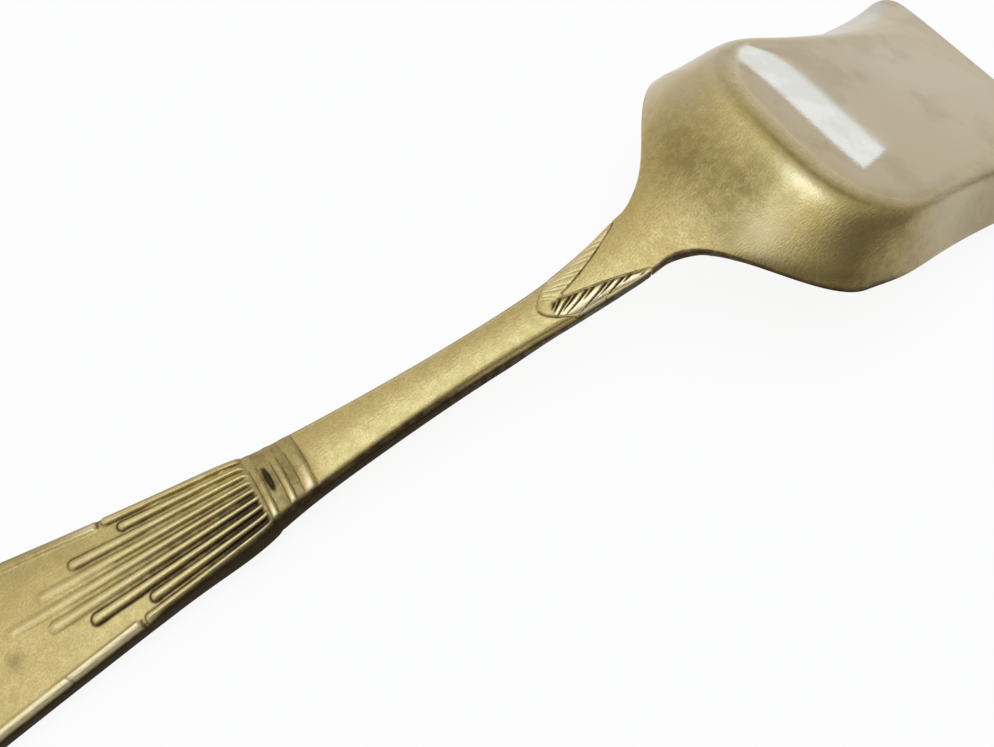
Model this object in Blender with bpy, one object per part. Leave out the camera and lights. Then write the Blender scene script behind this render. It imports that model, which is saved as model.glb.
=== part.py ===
"""Sugar spoon: a shovel bowl soldered by its tongue into the forked leaf of a reeded handle.

The spoon's own frame has its origin on the back of the neck, at the point of the bowl's tongue. X runs along
the spoon towards the lip, Y across it, and Z out of its back. An empty then lays the spoon face down.
"""
import math

import bmesh
import bpy
from mathutils import Matrix, Vector

MM = 0.001

# Lengths along the spoon, each from the point of the tongue unless it says otherwise
HANDLE_REACH = 82.0 * MM
BOWL_REACH = 62.3 * MM
TONGUE_LENGTH = 8.0 * MM
LEAF_HEEL = 3.0 * MM
STEM_LENGTH = 29.3 * MM
BEND_LENGTH = 49.0 * MM        # from the handle's end to where it starts to bend
HEEL_START = 2.5 * MM
CREASE_REACH = 23.7 * MM
NECK_STRAIGHT = 0.85 * MM      # of the neck past the leaf's tips
NECK_LENGTH = 15.4 * MM        # of the curve from the neck out to the bowl's shoulders
THINNING = 12.0 * MM           # over which the neck thins to the bowl's sheet
END_ARCH = 10.0 * MM           # of the handle's rounded end

# Widths across the spoon
STEM_WIDTH = 4.9 * MM
NECK_WIDTH = 6.8 * MM
BAND_WIDTH = 7.6 * MM
FAN_WIDTH = 18.6 * MM
SHOULDER_WIDTH = 32.6 * MM
WAIST_WIDTH = 31.9 * MM
LIP_WIDTH = 37.8 * MM
TONGUE_TIP = 0.3 * MM
LIP_CORNER = 2.2 * MM

# Thicknesses, heights and slopes
STEM_THICKNESS = 2.45 * MM
END_THICKNESS = 2.2 * MM
SHEET = 1.1 * MM
CROWN = 0.48 * MM
FRONT_CROWN = 0.2 * MM
EDGE_ROUND = 0.25 * MM
HANDLE_LIFT = 2.9 * MM
HEEL_SLOPE = math.radians(19.36)
BASE_SLOPE = math.radians(27.6)
SHOULDER_DEPTH = 7.9 * MM      # from the base down to the rim, below the crease
LIP_DEPTH = 0.7 * MM
RIM_SAG = 1.0 * MM
RIM_ROUND = 1.4 * MM           # of the rim's line, in side view, where it leaves the heel
CREASE_ROUND = 1.4 * MM
RIDGE_ROUND = 2.0 * MM         # between the base and the side walls
CORNER_ROUND = 1.5 * MM        # between the heel and the side walls
HEEL_ROUND = 2.2 * MM
LEAST_ROUND = 0.05 * MM        # at the rim, and where the neck has no corner yet

# Shares of the half width
WALL_SHARE = 0.14              # that the side wall takes at the shoulders
WALL_LIP = 0.3                 # that it takes at the lip
TONGUE_SPREAD = 0.9            # that the tongue takes at the leaf's tips
RIDGE_FROM = 0.5               # where the crease's rounding starts to give way to the ridge's
RIDGE_TO = 0.8                 # where it has done so

# Powers of the curves: 1 is straight, 2 a parabola
HEEL_FULLNESS = 3.4            # across the heel: the higher, the flatter its middle
STEM_TAPER = 1.7
FAN_TAPER = 1.38
LIP_FLARE = 1.6
ARCH_CURVE = 2.2
BEND_CURVE = 1.15
FAN_OPENING = 0.35             # share of the fan's spread that comes at once, past the bands
TONGUE_TAPER = 0.62            # share of the tongue's taper that is straight

# The fan of reeds, the cross bands and the leaf
BAND_COUNT = 3
BAND_PITCH = 1.85 * MM
BAND_RISE = 0.35 * MM
BAND_CURVE = 1.5
BAND_SINK = 0.35               # of the rise, that the grooves between the bands lie below the stem
REED_COUNT = 9
REED_PITCH = 0.229             # of the half width
REED_RISE = 0.42 * MM
REED_LENGTHS = (24.5 * MM, 21.1 * MM, 17.6 * MM, 12.4 * MM, 13.6 * MM)
BORDER_GAP = 0.5 * MM          # between an outer reed's end and the border that follows it
PANEL_SINK = 0.3 * MM
LEAF_RISE = 0.16 * MM

# The soldered joint
SEAM_WIDTH = 0.2 * MM
SEAM_SINK = 0.12 * MM

# Steps of the lofts
STEM_STEP = 3.4 * MM
BOWL_STEP = 1.5 * MM
NECK_STEP = 0.9 * MM
TONGUE_STEP = 1.3 * MM
FLAT_COLUMNS = 6               # from the bowl's middle to the foot of the wall
WALL_COLUMNS = 8
BAND_ROWS = 5                  # over each cross band
FLANK = 0.62                   # place of a reed's flank, as a share of its half width
REED_END_STEPS = (-0.4, 0.35, 1.6)  # rows round a reed's end, in ramps
ARCH_ANGLES = range(8, 88, 11)
CORNER_ANGLES = range(0, 91, 18)
NORMAL_STEP = 0.02 * MM
LEAST_GAP = 0.2                # of a ramp or a groove, below which a row or a column is left out
SHARP_ANGLE = math.radians(40)
RAMP = 0.35 * MM               # over which a raised edge comes up

PITCH_LIMIT = 0.3              # radians, of the search for the resting pitch

# Places that follow from the sizes above
CROTCH = -SEAM_WIDTH
SHOULDER_X = TONGUE_LENGTH + SEAM_WIDTH
BANDS_END = -STEM_LENGTH - BAND_COUNT * BAND_PITCH
NECK_START = SHOULDER_X + NECK_STRAIGHT
NECK_END = NECK_START + NECK_LENGTH
ARCH_START = END_ARCH - HANDLE_REACH
GROOVE = REED_PITCH / 2
OUTER_REED = REED_COUNT // 2
BORDER_EDGE = (OUTER_REED - 0.5) * REED_PITCH + 0.01
FLAT_SHARE = 1.0 - WALL_LIP


def smooth(share):
    share = min(max(share, 0.0), 1.0)
    return share * share * (3.0 - 2.0 * share)


def mix(start, end, share):
    return start + (end - start) * share


def soft_min(first, second, width):
    """The lower of two heights, rounded over where they are within width of each other."""
    near = max(width - abs(first - second), 0.0) / width
    return min(first, second) - near * near * width / 4.0


def half_width(x):
    """Half of the outline's width at x."""
    if x > SHOULDER_X:
        into_corner = min(max(x - BOWL_REACH + LIP_CORNER, 0.0), LIP_CORNER)
        return bowl_side(x) - LIP_CORNER + math.sqrt(LIP_CORNER ** 2 - into_corner ** 2)
    stem_middle = -STEM_LENGTH / 3
    if x > stem_middle:
        return mix(STEM_WIDTH, NECK_WIDTH, ((x - stem_middle) / (SHOULDER_X - stem_middle)) ** 2) / 2
    if x > BANDS_END:
        return mix(STEM_WIDTH, BAND_WIDTH, ((stem_middle - x) / (stem_middle - BANDS_END)) ** STEM_TAPER) / 2
    return fan_half(x) * math.sqrt(1.0 - into_arch(x) ** ARCH_CURVE)


def into_arch(x):
    return min(max(ARCH_START - x, 0.0) / END_ARCH, 1.0)


def fan_half(x):
    """Half width of the fan, as if it had no rounded end."""
    share = (BANDS_END - max(x, ARCH_START)) / (BANDS_END - ARCH_START)
    opened = mix(share ** FAN_TAPER, math.sqrt(share), FAN_OPENING)
    return mix(BAND_WIDTH, FAN_WIDTH, opened) / 2


def bowl_side(x):
    """Half width of the bowl, as if the lip's corners were square."""
    side = mix(NECK_WIDTH, SHOULDER_WIDTH, smooth((x - NECK_START) / NECK_LENGTH)) / 2
    half = (BOWL_REACH - NECK_END) / 2
    side += (WAIST_WIDTH - SHOULDER_WIDTH) / 2 * smooth((x - NECK_END) / half)
    return side + (LIP_WIDTH - WAIST_WIDTH) / 2 * (max(x - NECK_END - half, 0.0) / half) ** LIP_FLARE


def heel_line(x):
    """Height of the back along the middle of the handle and the heel."""
    bend = max(-x - HANDLE_REACH + BEND_LENGTH, 0.0) / BEND_LENGTH
    ramp = (x - HEEL_START) * math.tan(HEEL_SLOPE)
    return HANDLE_LIFT * bend ** BEND_CURVE - soft_min(0.0, -ramp, HEEL_ROUND)


def base_line(x):
    """Height of the bowl's flat base."""
    crease = (CREASE_REACH - HEEL_START) * math.tan(HEEL_SLOPE)
    return crease - (x - CREASE_REACH) * math.tan(BASE_SLOPE)


def rim_line(x):
    """Height of the back's edge, at the rim of the bowl."""
    share = (x - CREASE_REACH) / (BOWL_REACH - CREASE_REACH)
    shoulder = base_line(CREASE_REACH) - SHOULDER_DEPTH
    lip = base_line(BOWL_REACH) - LIP_DEPTH
    sag = 4.0 * RIM_SAG * max(share, 0.0) * (1.0 - share)
    return soft_min(heel_line(x) - CROWN, mix(shoulder, lip, share) - sag, RIM_ROUND)


def back_height(x, y):
    """Height of the back, without relief: the base, the heel and the walls, rounded into each other."""
    side_half = bowl_side(x) if x > SHOULDER_X else half_width(x)
    share = min(abs(y) / side_half, 1.0)
    heel = heel_line(x)
    base = base_line(x)
    rim = rim_line(x)
    depth = min(base, heel) - rim
    full = smooth((x - NECK_START) / (CREASE_REACH - NECK_START))
    crowned = heel - (heel - rim) * share ** mix(2.0, HEEL_FULLNESS, full)
    along = min(max(x - NECK_END, 0.0) / (BOWL_REACH - NECK_END), 1.0)
    wall_height = rim + depth * (1.0 - share) / mix(WALL_SHARE, WALL_LIP, along)
    corner = CORNER_ROUND * smooth((x - NECK_START) / NECK_LENGTH)
    side = soft_min(crowned, wall_height, LEAST_ROUND + min(corner, wall_height - rim))
    rounding = mix(CREASE_ROUND, RIDGE_ROUND, smooth((share - RIDGE_FROM) / (RIDGE_TO - RIDGE_FROM)))
    return soft_min(base, side, min(rounding, depth))


def thickness(x):
    if x > HEEL_START:
        return mix(STEM_THICKNESS, SHEET, smooth((x - HEEL_START) / THINNING))
    return mix(STEM_THICKNESS, END_THICKNESS, smooth((BANDS_END - x) / (HANDLE_REACH + BANDS_END)))


def tongue_half(x):
    """Half width of the bowl's tongue, from its point to the leaf's tips."""
    share = x / SHOULDER_X
    taper = mix(share * abs(share), share, TONGUE_TAPER)
    return mix(TONGUE_TIP / 2, TONGUE_SPREAD * half_width(SHOULDER_X), taper)


def reed_end(index):
    return BANDS_END - REED_LENGTHS[abs(index)]


def fan_relief(x, y):
    """Rise of the reeds, and of the border beyond the outer ones and round the end, above the sunk panel."""
    if x > BANDS_END:
        return 0.0
    rise = 0.0
    half = GROOVE * half_width(x)
    for index in range(-OUTER_REED, OUTER_REED + 1):
        across = abs(y / half_width(x) - index * REED_PITCH) / GROOVE
        past = max(reed_end(index) + half - x, 0.0) / half
        rise = max(rise, REED_RISE * math.sqrt(max(1.0 - across ** 2 - past ** 2, 0.0)))
    to_edge = math.sqrt((y / fan_half(x)) ** 2 + into_arch(x) ** ARCH_CURVE)
    if to_edge > BORDER_EDGE:
        rise = max(rise, PANEL_SINK * smooth((reed_end(OUTER_REED) - BORDER_GAP - x) / RAMP))
    return rise - PANEL_SINK * smooth((BANDS_END - x) / RAMP)


def band_relief(x):
    """Rise of the cross bands, and the shallow grooves between them."""
    along = (-STEM_LENGTH - x) / BAND_PITCH
    if not 0.0 < along < BAND_COUNT:
        return 0.0
    return BAND_RISE * (math.sin(math.pi * (along % 1.0)) ** BAND_CURVE - BAND_SINK)


def leaf_relief(x, y):
    heel = -LEAF_HEEL + LEAF_HEEL * (y / (STEM_WIDTH / 2)) ** 2
    return LEAF_RISE * smooth((x - heel) / (2 * RAMP))


def handle_relief(x, y):
    return fan_relief(x, y) + band_relief(x) + leaf_relief(x, y)


def handle_columns():
    """Places across the handle, as shares of its half width: each reed's crest, flanks and grooves."""
    shares = [0.0]
    for index in range(OUTER_REED + 1):
        crest = index * REED_PITCH
        for offset in (-FLANK * GROOVE, 0.0, FLANK * GROOVE, GROOVE):
            if 0.0 < crest + offset < 1.0 - LEAST_GAP * GROOVE:
                shares.append(crest + offset)
    shares.append(1.0)
    shares = sorted(set(shares))
    return [-share for share in reversed(shares[1:])] + shares


def handle_y(x, share):
    """Place of a column at x: it slides over to the fork along the stem, and past the crotch clears the V."""
    crotch_share = (tongue_half(CROTCH) + SEAM_WIDTH) / half_width(CROTCH)
    inner = mix(GROOVE, crotch_share, smooth((x + STEM_LENGTH) / (STEM_LENGTH + CROTCH)))
    if x > CROTCH:
        inner = (tongue_half(x) + SEAM_WIDTH) / half_width(x)
    size = abs(share)
    if size <= GROOVE:
        placed = size / GROOVE * inner
    else:
        placed = mix(inner, 1.0, (size - GROOVE) / (1.0 - GROOVE))
    return math.copysign(placed, share) * half_width(x)


def spread(start, end, step):
    """Evenly spaced places from start up to end, without end."""
    count = max(round((end - start) / step), 1)
    return [mix(start, end, index / count) for index in range(count)]


def handle_stations():
    places = [ARCH_START - END_ARCH * math.sin(math.radians(angle)) for angle in ARCH_ANGLES]
    places += spread(ARCH_START, BANDS_END, STEM_STEP)
    for index in range(OUTER_REED + 1):
        places += [reed_end(index) + RAMP * step for step in REED_END_STEPS]
    border_start = reed_end(OUTER_REED) - BORDER_GAP
    places += [border_start, border_start - RAMP]
    places += [BANDS_END - RAMP, BANDS_END]
    bands = BAND_COUNT * BAND_ROWS
    places += [BANDS_END + BAND_COUNT * BAND_PITCH * index / bands for index in range(1, bands + 1)]
    places += spread(-STEM_LENGTH, -LEAF_HEEL, STEM_STEP)[1:]
    places += spread(-LEAF_HEEL, CROTCH, 2 * RAMP)
    places += spread(CROTCH, TONGUE_LENGTH, TONGUE_STEP)
    places.append(TONGUE_LENGTH)
    places.sort()
    kept = [places[0]]
    for place in places[1:]:
        if place - kept[-1] > LEAST_GAP * RAMP or place in (CROTCH, TONGUE_LENGTH):
            kept.append(place)
    return kept


def handle_point(x, share, side):
    """A point on the handle's back (side 1) or front (side -1)."""
    y = handle_y(x, share)
    relief = handle_relief(x, y)
    edge = EDGE_ROUND * max(abs(y) / half_width(x) - (1.0 - GROOVE), 0.0) / GROOVE
    edge *= 1.0 - smooth(x / TONGUE_LENGTH)
    if side > 0:
        return Vector((x, y, back_height(x, y) + relief - edge))
    front_crown = FRONT_CROWN * (y / half_width(x)) ** 2
    return Vector((x, y, heel_line(x) - thickness(x) + front_crown - relief + edge))


def skin(bm, grid, first, last):
    """Faces over a grid of vertices, between two of its columns. grid[row][column]."""
    for near, far in zip(grid, grid[1:]):
        for column in range(first, last):
            bm.faces.new((near[column], far[column], far[column + 1], near[column + 1]))


def wall(bm, backs, fronts, column):
    """The edge wall between a column of the back and the same column of the front."""
    for row in range(len(backs) - 1):
        bm.faces.new((backs[row][column], backs[row + 1][column],
                      fronts[row + 1][column], fronts[row][column]))


def cap(bm, back_row, front_row, first, last):
    """A flat end face over some columns of one row."""
    bm.faces.new(back_row[first:last + 1] + front_row[first:last + 1][::-1])


def close(bm, name, material, parent):
    """Turn a finished mesh into a smooth-shaded node under the resting empty."""
    loose = [vert for vert in bm.verts if not vert.link_faces]
    bmesh.ops.delete(bm, geom=loose, context='VERTS')
    bmesh.ops.recalc_face_normals(bm, faces=bm.faces)
    mesh = bpy.data.meshes.new(name)
    bm.to_mesh(mesh)
    bm.free()
    mesh.shade_smooth()
    mesh.set_sharp_from_angle(angle=SHARP_ANGLE)
    mesh.materials.append(material)
    node = bpy.data.objects.new(name, mesh)
    bpy.context.collection.objects.link(node)
    node.parent = parent
    return node


def make_handle(material, parent):
    """The handle: one loft up to the crotch of the fork, then the fork's two arms."""
    bm = bmesh.new()
    columns = handle_columns()
    stations = handle_stations()
    backs = [[bm.verts.new(handle_point(x, share, 1)) for share in columns] for x in stations]
    fronts = [[bm.verts.new(handle_point(x, share, -1)) for share in columns] for x in stations]
    last = len(columns) - 1
    right = columns.index(-GROOVE)
    left = columns.index(GROOVE)
    crotch = stations.index(CROTCH)
    for grid in (backs, fronts):
        skin(bm, grid[:crotch + 1], 0, last)
        skin(bm, grid[crotch:], 0, right)
        skin(bm, grid[crotch:], left, last)
    for column in (0, last):
        wall(bm, backs, fronts, column)
    for column in (right, left):
        wall(bm, backs[crotch:], fronts[crotch:], column)
    cap(bm, backs[0], fronts[0], 0, last)
    cap(bm, backs[crotch], fronts[crotch], right, left)
    cap(bm, backs[-1], fronts[-1], 0, right)
    cap(bm, backs[-1], fronts[-1], left, last)
    return close(bm, "handle", material, parent)


def bowl_columns():
    """Places across the bowl, as shares of its half width: even over the base, closer on the wall."""
    shares = [FLAT_SHARE * (index / FLAT_COLUMNS) for index in range(FLAT_COLUMNS + 1)]
    shares += [mix(FLAT_SHARE, 1.0, index / WALL_COLUMNS) for index in range(1, WALL_COLUMNS + 1)]
    return [-share for share in reversed(shares[1:])] + shares


def bowl_y(x, share):
    """Place of a column at x: those of the flat fill the tongue, and those of the wall start past it."""
    if x < SHOULDER_X:
        return share / FLAT_SHARE * tongue_half(x)
    inner = mix(TONGUE_SPREAD, FLAT_SHARE, smooth((x - SHOULDER_X) / NECK_LENGTH))
    size = abs(share)
    if size <= FLAT_SHARE:
        placed = size / FLAT_SHARE * inner
    else:
        placed = mix(inner, 1.0, (size - FLAT_SHARE) / WALL_LIP)
    return math.copysign(placed, share) * half_width(x)


def bowl_stations():
    places = spread(0.0, SHOULDER_X, TONGUE_STEP)
    places += spread(SHOULDER_X, NECK_END, NECK_STEP)
    corner = BOWL_REACH - LIP_CORNER
    places += spread(NECK_END, corner, BOWL_STEP)
    places += [corner + LIP_CORNER * math.sin(math.radians(angle)) for angle in CORNER_ANGLES]
    return places


def outward(x, y):
    """Unit normal of the bowl's back."""
    limit = half_width(x) - NORMAL_STEP
    inside = min(max(y, -limit), limit)
    before = min(x, BOWL_REACH - NORMAL_STEP)
    along = back_height(before + NORMAL_STEP, inside) - back_height(before - NORMAL_STEP, inside)
    across = back_height(x, inside + NORMAL_STEP) - back_height(x, inside - NORMAL_STEP)
    return Vector((-along, -across, 2 * NORMAL_STEP)).normalized()


def bowl_front(x, y, back):
    """The point on the hollow side: straight under the tongue, and a sheet's thickness in from the bowl."""
    straight = Vector((0.0, 0.0, 1.0))
    turned = smooth((x - SHOULDER_X) / (NECK_LENGTH / 2))
    return back - straight.lerp(outward(x, y), turned).normalized() * thickness(x)


def make_bowl(material, parent):
    """The bowl: a narrow loft for the tongue that widens at the leaf's tips into the shovel."""
    bm = bmesh.new()
    columns = bowl_columns()
    stations = bowl_stations()
    backs = []
    fronts = []
    for x in stations:
        places = [bowl_y(x, share) for share in columns]
        points = [Vector((x, y, back_height(x, y))) for y in places]
        backs.append([bm.verts.new(point) for point in points])
        fronts.append([bm.verts.new(bowl_front(x, y, point)) for y, point in zip(places, points)])
    last = len(columns) - 1
    right = columns.index(-FLAT_SHARE)
    left = columns.index(FLAT_SHARE)
    shoulder = stations.index(SHOULDER_X)
    for grid in (backs, fronts):
        skin(bm, grid[:shoulder + 1], right, left)
        skin(bm, grid[shoulder:], 0, last)
    for column in (right, left):
        wall(bm, backs[:shoulder + 1], fronts[:shoulder + 1], column)
    for column in (0, last):
        wall(bm, backs[shoulder:], fronts[shoulder:], column)
    cap(bm, backs[0], fronts[0], right, left)
    cap(bm, backs[shoulder], fronts[shoulder], 0, right)
    cap(bm, backs[shoulder], fronts[shoulder], left, last)
    skin(bm, [backs[-1], fronts[-1]], 0, last)
    return close(bm, "bowl", material, parent)


def seam_rungs():
    """Plan points of the seam, as (fork side, tongue side) pairs from one leaf tip round to the other.

    Each side has its points where the piece that it joins has its own, so that the flat faces meet.
    """
    fork_places = spread(CROTCH, TONGUE_LENGTH, TONGUE_STEP) + [TONGUE_LENGTH]
    tongue_places = spread(0.0, SHOULDER_X, TONGUE_STEP) + [SHOULDER_X]
    end = mix(tongue_half(TONGUE_LENGTH) + SEAM_WIDTH, half_width(TONGUE_LENGTH), 0.5)
    half = [((TONGUE_LENGTH, end), (SHOULDER_X, end))]
    for fork, tongue in zip(reversed(fork_places), reversed(tongue_places)):
        half.append(((fork, tongue_half(fork) + SEAM_WIDTH), (tongue, tongue_half(tongue))))
    mirrored = [((fork[0], -fork[1]), (tongue[0], -tongue[1])) for fork, tongue in reversed(half)]
    return half + mirrored


def make_seam(material, parent):
    """The solder between fork and tongue: a V-shaped strip set a little below both faces."""
    bm = bmesh.new()
    rungs = []
    for fork, tongue in seam_rungs():
        corners = []
        for x, y in (fork, tongue):
            top = back_height(x, y) - SEAM_SINK
            bottom = heel_line(x) - thickness(x) + FRONT_CROWN + SEAM_SINK
            corners.append((Vector((x, y, top)), Vector((x, y, bottom))))
        (fork_top, fork_bottom), (tongue_top, tongue_bottom) = corners
        rungs.append([bm.verts.new(point) for point in (fork_top, tongue_top, tongue_bottom, fork_bottom)])
    for near, far in zip(rungs, rungs[1:]):
        for side in range(4):
            after = (side + 1) % 4
            bm.faces.new((near[side], far[side], far[after], near[after]))
    bm.faces.new(rungs[0])
    bm.faces.new(rungs[-1][::-1])
    return close(bm, "solder_seam", material, parent)


def make_material(name, colour, roughness):
    material = bpy.data.materials.new(name)
    material.use_nodes = True
    shader = material.node_tree.nodes["Principled BSDF"]
    shader.inputs["Base Color"].default_value = (*colour, 1.0)
    shader.inputs["Metallic"].default_value = 1.0
    shader.inputs["Roughness"].default_value = roughness
    return material


def lowest(points, pitch):
    turn = Matrix.Rotation(pitch, 3, 'Y')
    return min((turn @ point).z for point in points)


def lay_down(parent, nodes):
    """Pitch the spoon until its lip and its handle rest on one level, then stand it on the origin."""
    points = [vert.co for node in nodes for vert in node.data.vertices]
    handle_side = [point for point in points if point.x < BANDS_END]
    bowl_side = [point for point in points if point.x > CREASE_REACH]
    low, high = -PITCH_LIMIT, PITCH_LIMIT
    for _ in range(60):
        pitch = (low + high) / 2
        if lowest(handle_side, pitch) > lowest(bowl_side, pitch):
            high = pitch
        else:
            low = pitch
    turn = Matrix.Rotation(pitch, 3, 'Y')
    placed = [turn @ point for point in points]
    middle = (min(point.x for point in placed) + max(point.x for point in placed)) / 2
    parent.rotation_euler = (0.0, pitch, 0.0)
    parent.location = (-middle, 0.0, -min(point.z for point in placed))


def main():
    for old in list(bpy.data.objects):
        bpy.data.objects.remove(old, do_unlink=True)
    rest = bpy.data.objects.new("rest_pose", None)
    bpy.context.collection.objects.link(rest)
    nodes = [make_handle(make_material("gilt_handle", (0.62, 0.50, 0.26), 0.34), rest),
             make_bowl(make_material("gilt_bowl", (0.60, 0.49, 0.28), 0.30), rest),
             make_seam(make_material("silver_solder", (0.42, 0.36, 0.24), 0.45), rest)]
    lay_down(rest, nodes)


main()
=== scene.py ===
"""Gilt sugar spoon, lying face down: the looks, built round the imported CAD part.

The forms are worked out in the spoon's own frame, with its origin on the back of the neck, at the point
of the bowl's tongue, X towards the lip, Y across and Z out of the back. They are then laid down as the CAD
part is.
"""
import math

import bpy
import numpy as np
from bpy.props import FloatProperty, FloatVectorProperty, IntProperty, PointerProperty
from mathutils import Euler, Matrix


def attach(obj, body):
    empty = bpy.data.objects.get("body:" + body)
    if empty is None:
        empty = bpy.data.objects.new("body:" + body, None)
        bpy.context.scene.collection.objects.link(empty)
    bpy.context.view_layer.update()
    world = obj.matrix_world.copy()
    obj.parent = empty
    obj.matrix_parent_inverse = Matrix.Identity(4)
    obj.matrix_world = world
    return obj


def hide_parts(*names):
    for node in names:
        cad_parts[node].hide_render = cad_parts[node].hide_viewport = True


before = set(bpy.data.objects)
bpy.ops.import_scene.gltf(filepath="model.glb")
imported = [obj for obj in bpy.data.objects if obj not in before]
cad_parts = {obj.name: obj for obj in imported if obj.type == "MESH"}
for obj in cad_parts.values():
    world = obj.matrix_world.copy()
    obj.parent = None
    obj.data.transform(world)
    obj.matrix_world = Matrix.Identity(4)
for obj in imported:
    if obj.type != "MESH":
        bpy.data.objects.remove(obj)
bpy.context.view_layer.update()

bl_info = {
    "name": "Gilt sugar spoon",
    "version": (1, 0, 0),
    "blender": (4, 5, 0),
    "location": "View3D > Sidebar > Spoon",
    "description": "Models a gilt sugar spoon with a shovel bowl and a reeded handle, and lays it on a stage",
    "category": "Add Mesh",
}

MM = 0.001
# Smallest difference that counts between two columns, and the steps over which slopes are taken
NEAR = 1e-6
EDGE_STEP = 0.05 * MM
FACE_STEP = 0.02 * MM
# Depths through a piece, from 0 on its back to 1 on its front, that part the faces from the walls
BACK_FACE = 0.01
FRONT_FACE = 0.99
# Rows of points that the walls of the pieces get
HANDLE_WALL_CUTS = 7
BOWL_WALL_CUTS = 5
SEAM_WALL_CUTS = 1

# Powers and shares of the outline's curves: the stem, the fan, its rounded end, the bend and the tongue
STEM_POWER = 1.7
FAN_POWER = 1.38
FAN_SWELL = 0.35
ARCH_POWER = 2.2
BEND_POWER = 1.15
TONGUE_CURVE = 0.38
# Fullness round the shoulders: how far past them its middle lies, its width, and the width of the blunting
FULL_PLACE = 2.2 * MM
FULL_WIDTH = 8.0 * MM
BLUNT_WIDTH = 4.6 * MM
LEAST_ROUND = 0.05 * MM
# Rounding of the handle's edge, on the fan and on the stem
EDGE_ROUNDS = (0.35 * MM, 0.6 * MM)
SEAM_STEP = 0.25 * MM
SHARP_ANGLE = math.radians(50)

# How dark the tarnish stays towards the end of each reed, from the right edge to the left
REED_TARNISH = (0.7, 0.9, 1.0, 0.35, 0.1, 0.2, 0.7, 0.95, 0.7)
# Share of the full height that each reed keeps at its end, from the right edge to the left
REED_END_RISE = (1.0, 1.0, 0.95, 0.6, 0.45, 0.5, 0.75, 0.95, 1.0)
# Tarnish beside a reed: its strength, and its start, its height and how far it spreads, in reed half widths
GROOVE_TARNISH = 0.9
GROOVE_START = 0.55
GROOVE_FULL = 1.05
GROOVE_SPREAD = (1.8, 0.7)
# Tarnish between the reeds beside the cross bands, on the left and on the right: its strength and its reach.
# The much stronger darkening on the right is painted shade
BANDS_TARNISH_AND_SHADE = (0.3, 1.0)
BANDS_REACH = (9.0 * MM, 16.0 * MM)
# Tarnish round the panel: at the border's foot, on the right and on the left, stronger on the right with
# painted shade, and painted shade along the left border
FOOT_TARNISH_AND_SHADE = (0.45, 0.25)
LEFT_BORDER_SHADE = 0.26
# Tarnish where the border starts and in its nick, with the nick's half width
STEP_TARNISH = 0.8
NICK_TARNISH = 0.55
NICK_HALF = 0.22 * MM
# Wear and painted highlight on the reeds' crests and on the border
CREST_WEAR_AND_HIGHLIGHT = 0.4
BORDER_WEAR_AND_HIGHLIGHT = 0.8
# Middle and half width of each cross band, from the stem to the reeds, as shares of their whole length
BAND_RIDGES = ((0.16, 0.12), (0.5, 0.07), (0.87, 0.07))
# Tarnish on the bands: in their hollows, and over all of them, at the right edge and from the middle on
HOLLOW_TARNISH = 0.5
BAND_TARNISH = (0.22, 0.38)
# Share of their height that the bands keep at the left edge
BAND_FADED = 0.35
# Dark lens between two bands: its place and half width along the spoon, and its place and reach across it
LENS_ALONG = (-33.3 * MM, 0.3 * MM)
LENS_ACROSS = (0.08, 0.42)
LENS_DEPTH = 0.2 * MM
# Barbs of the leaf: each one's place in its pair's pitch, how far out it runs, and its half width at the root
BARB_PLACES = (0.28, 0.64)
BARB_STOPS = (0.95, 0.66)
BARB_HALF = 0.46 * MM
# The leaf, on its left and on its right: depth of the cuts, tarnish in them and round the heel, made far
# darker on the right with painted shade, and wear with painted highlight on its facets
CUT_SHARES = (0.3, 1.0)
CUT_TARNISH_AND_SHADE = (0.12, 1.0)
LEAF_HEEL_TARNISH_AND_SHADE = (0.3, 0.8)
LEAF_WEAR_AND_HIGHLIGHT = (0.35, 0.9)
# Painted shade, in the colour of tarnish, on the handle's walls: the left one, and the right one at the leaf
# and further back; then the strength of the painted shade along the right edge
LEFT_WALL_SHADE = 0.3
RIGHT_WALL_SHADE = (0.8, 0.97)
EDGE_SHADE = 0.8
# Width of the painted shade along the handle's right edge: on the border, beside the reeds and on the stem
EDGE_SHADE_WIDTHS = (0.2 * MM, 0.5 * MM, 0.75 * MM)
# Stain on the panel: its strength, place along the spoon, place across it and radius
PANEL_STAIN = (0.45, -59.4 * MM, -2.4 * MM, 0.9 * MM)
# Painted shade along the panel's left side, in the brown of the film
PANEL_LEFT_SHADE = 0.2

# Stains on the base, in millimetres: place along the spoon, share of the half width and radius
STAIN_FILM = 0.22
BASE_STAINS = ((52.2, 0.41, 1.3), (42.0, 0.285, 1.1), (43.9, 0.66, 1.2))
# Darker patches on the heel, in millimetres: strength, place along the spoon, place across it and the two
# radii
HEEL_DARK_PATCHES = ((0.7, 17.5, 2.0, 4.2, 7.5), (0.38, 20.0, -3.6, 2.4, 2.6), (0.25, 15.2, -4.0, 2.5, 2.2))
# Painted shade, in the colour of tarnish, on the bowl's right wall, past the shoulders and up to them, and on
# the rim beside it
BOWL_RIGHT_WALL_SHADE = (0.5, 0.82)
RIGHT_RIM_SHADE = 0.7
# Places along the spoon between which the marks and the draft of the neck's sides die away
SHOULDER_FADE = (25.0 * MM, 33.0 * MM)

# What a gilt piece carries at each of its points, from 0 to 1, for its finish to follow. The tarnish and the
# film also carry painted shade, and the wear also carries painted highlights
MASKS = ("tarnish_and_shade", "rubbed", "film_and_shade", "polish", "wear_and_highlight", "bare")
# Scales of the noise in the finishes: patches of gold and of solder, grain, and marks of rubbing
BROAD_PATCHES = 110.0
SMALL_PATCHES = 800.0
SOLDER_PATCHES = 900.0
FINE_GRAIN = 4200.0
COARSE_GRAIN = 1300.0
RUB_SCALE = 3200.0
# Directions of the rubbing, in degrees, and how its marks are drawn out
RUB_TURNS = (20.0, -35.0, 75.0)
RUB_STRETCH = (0.2, 2.0, 1.0)

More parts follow.
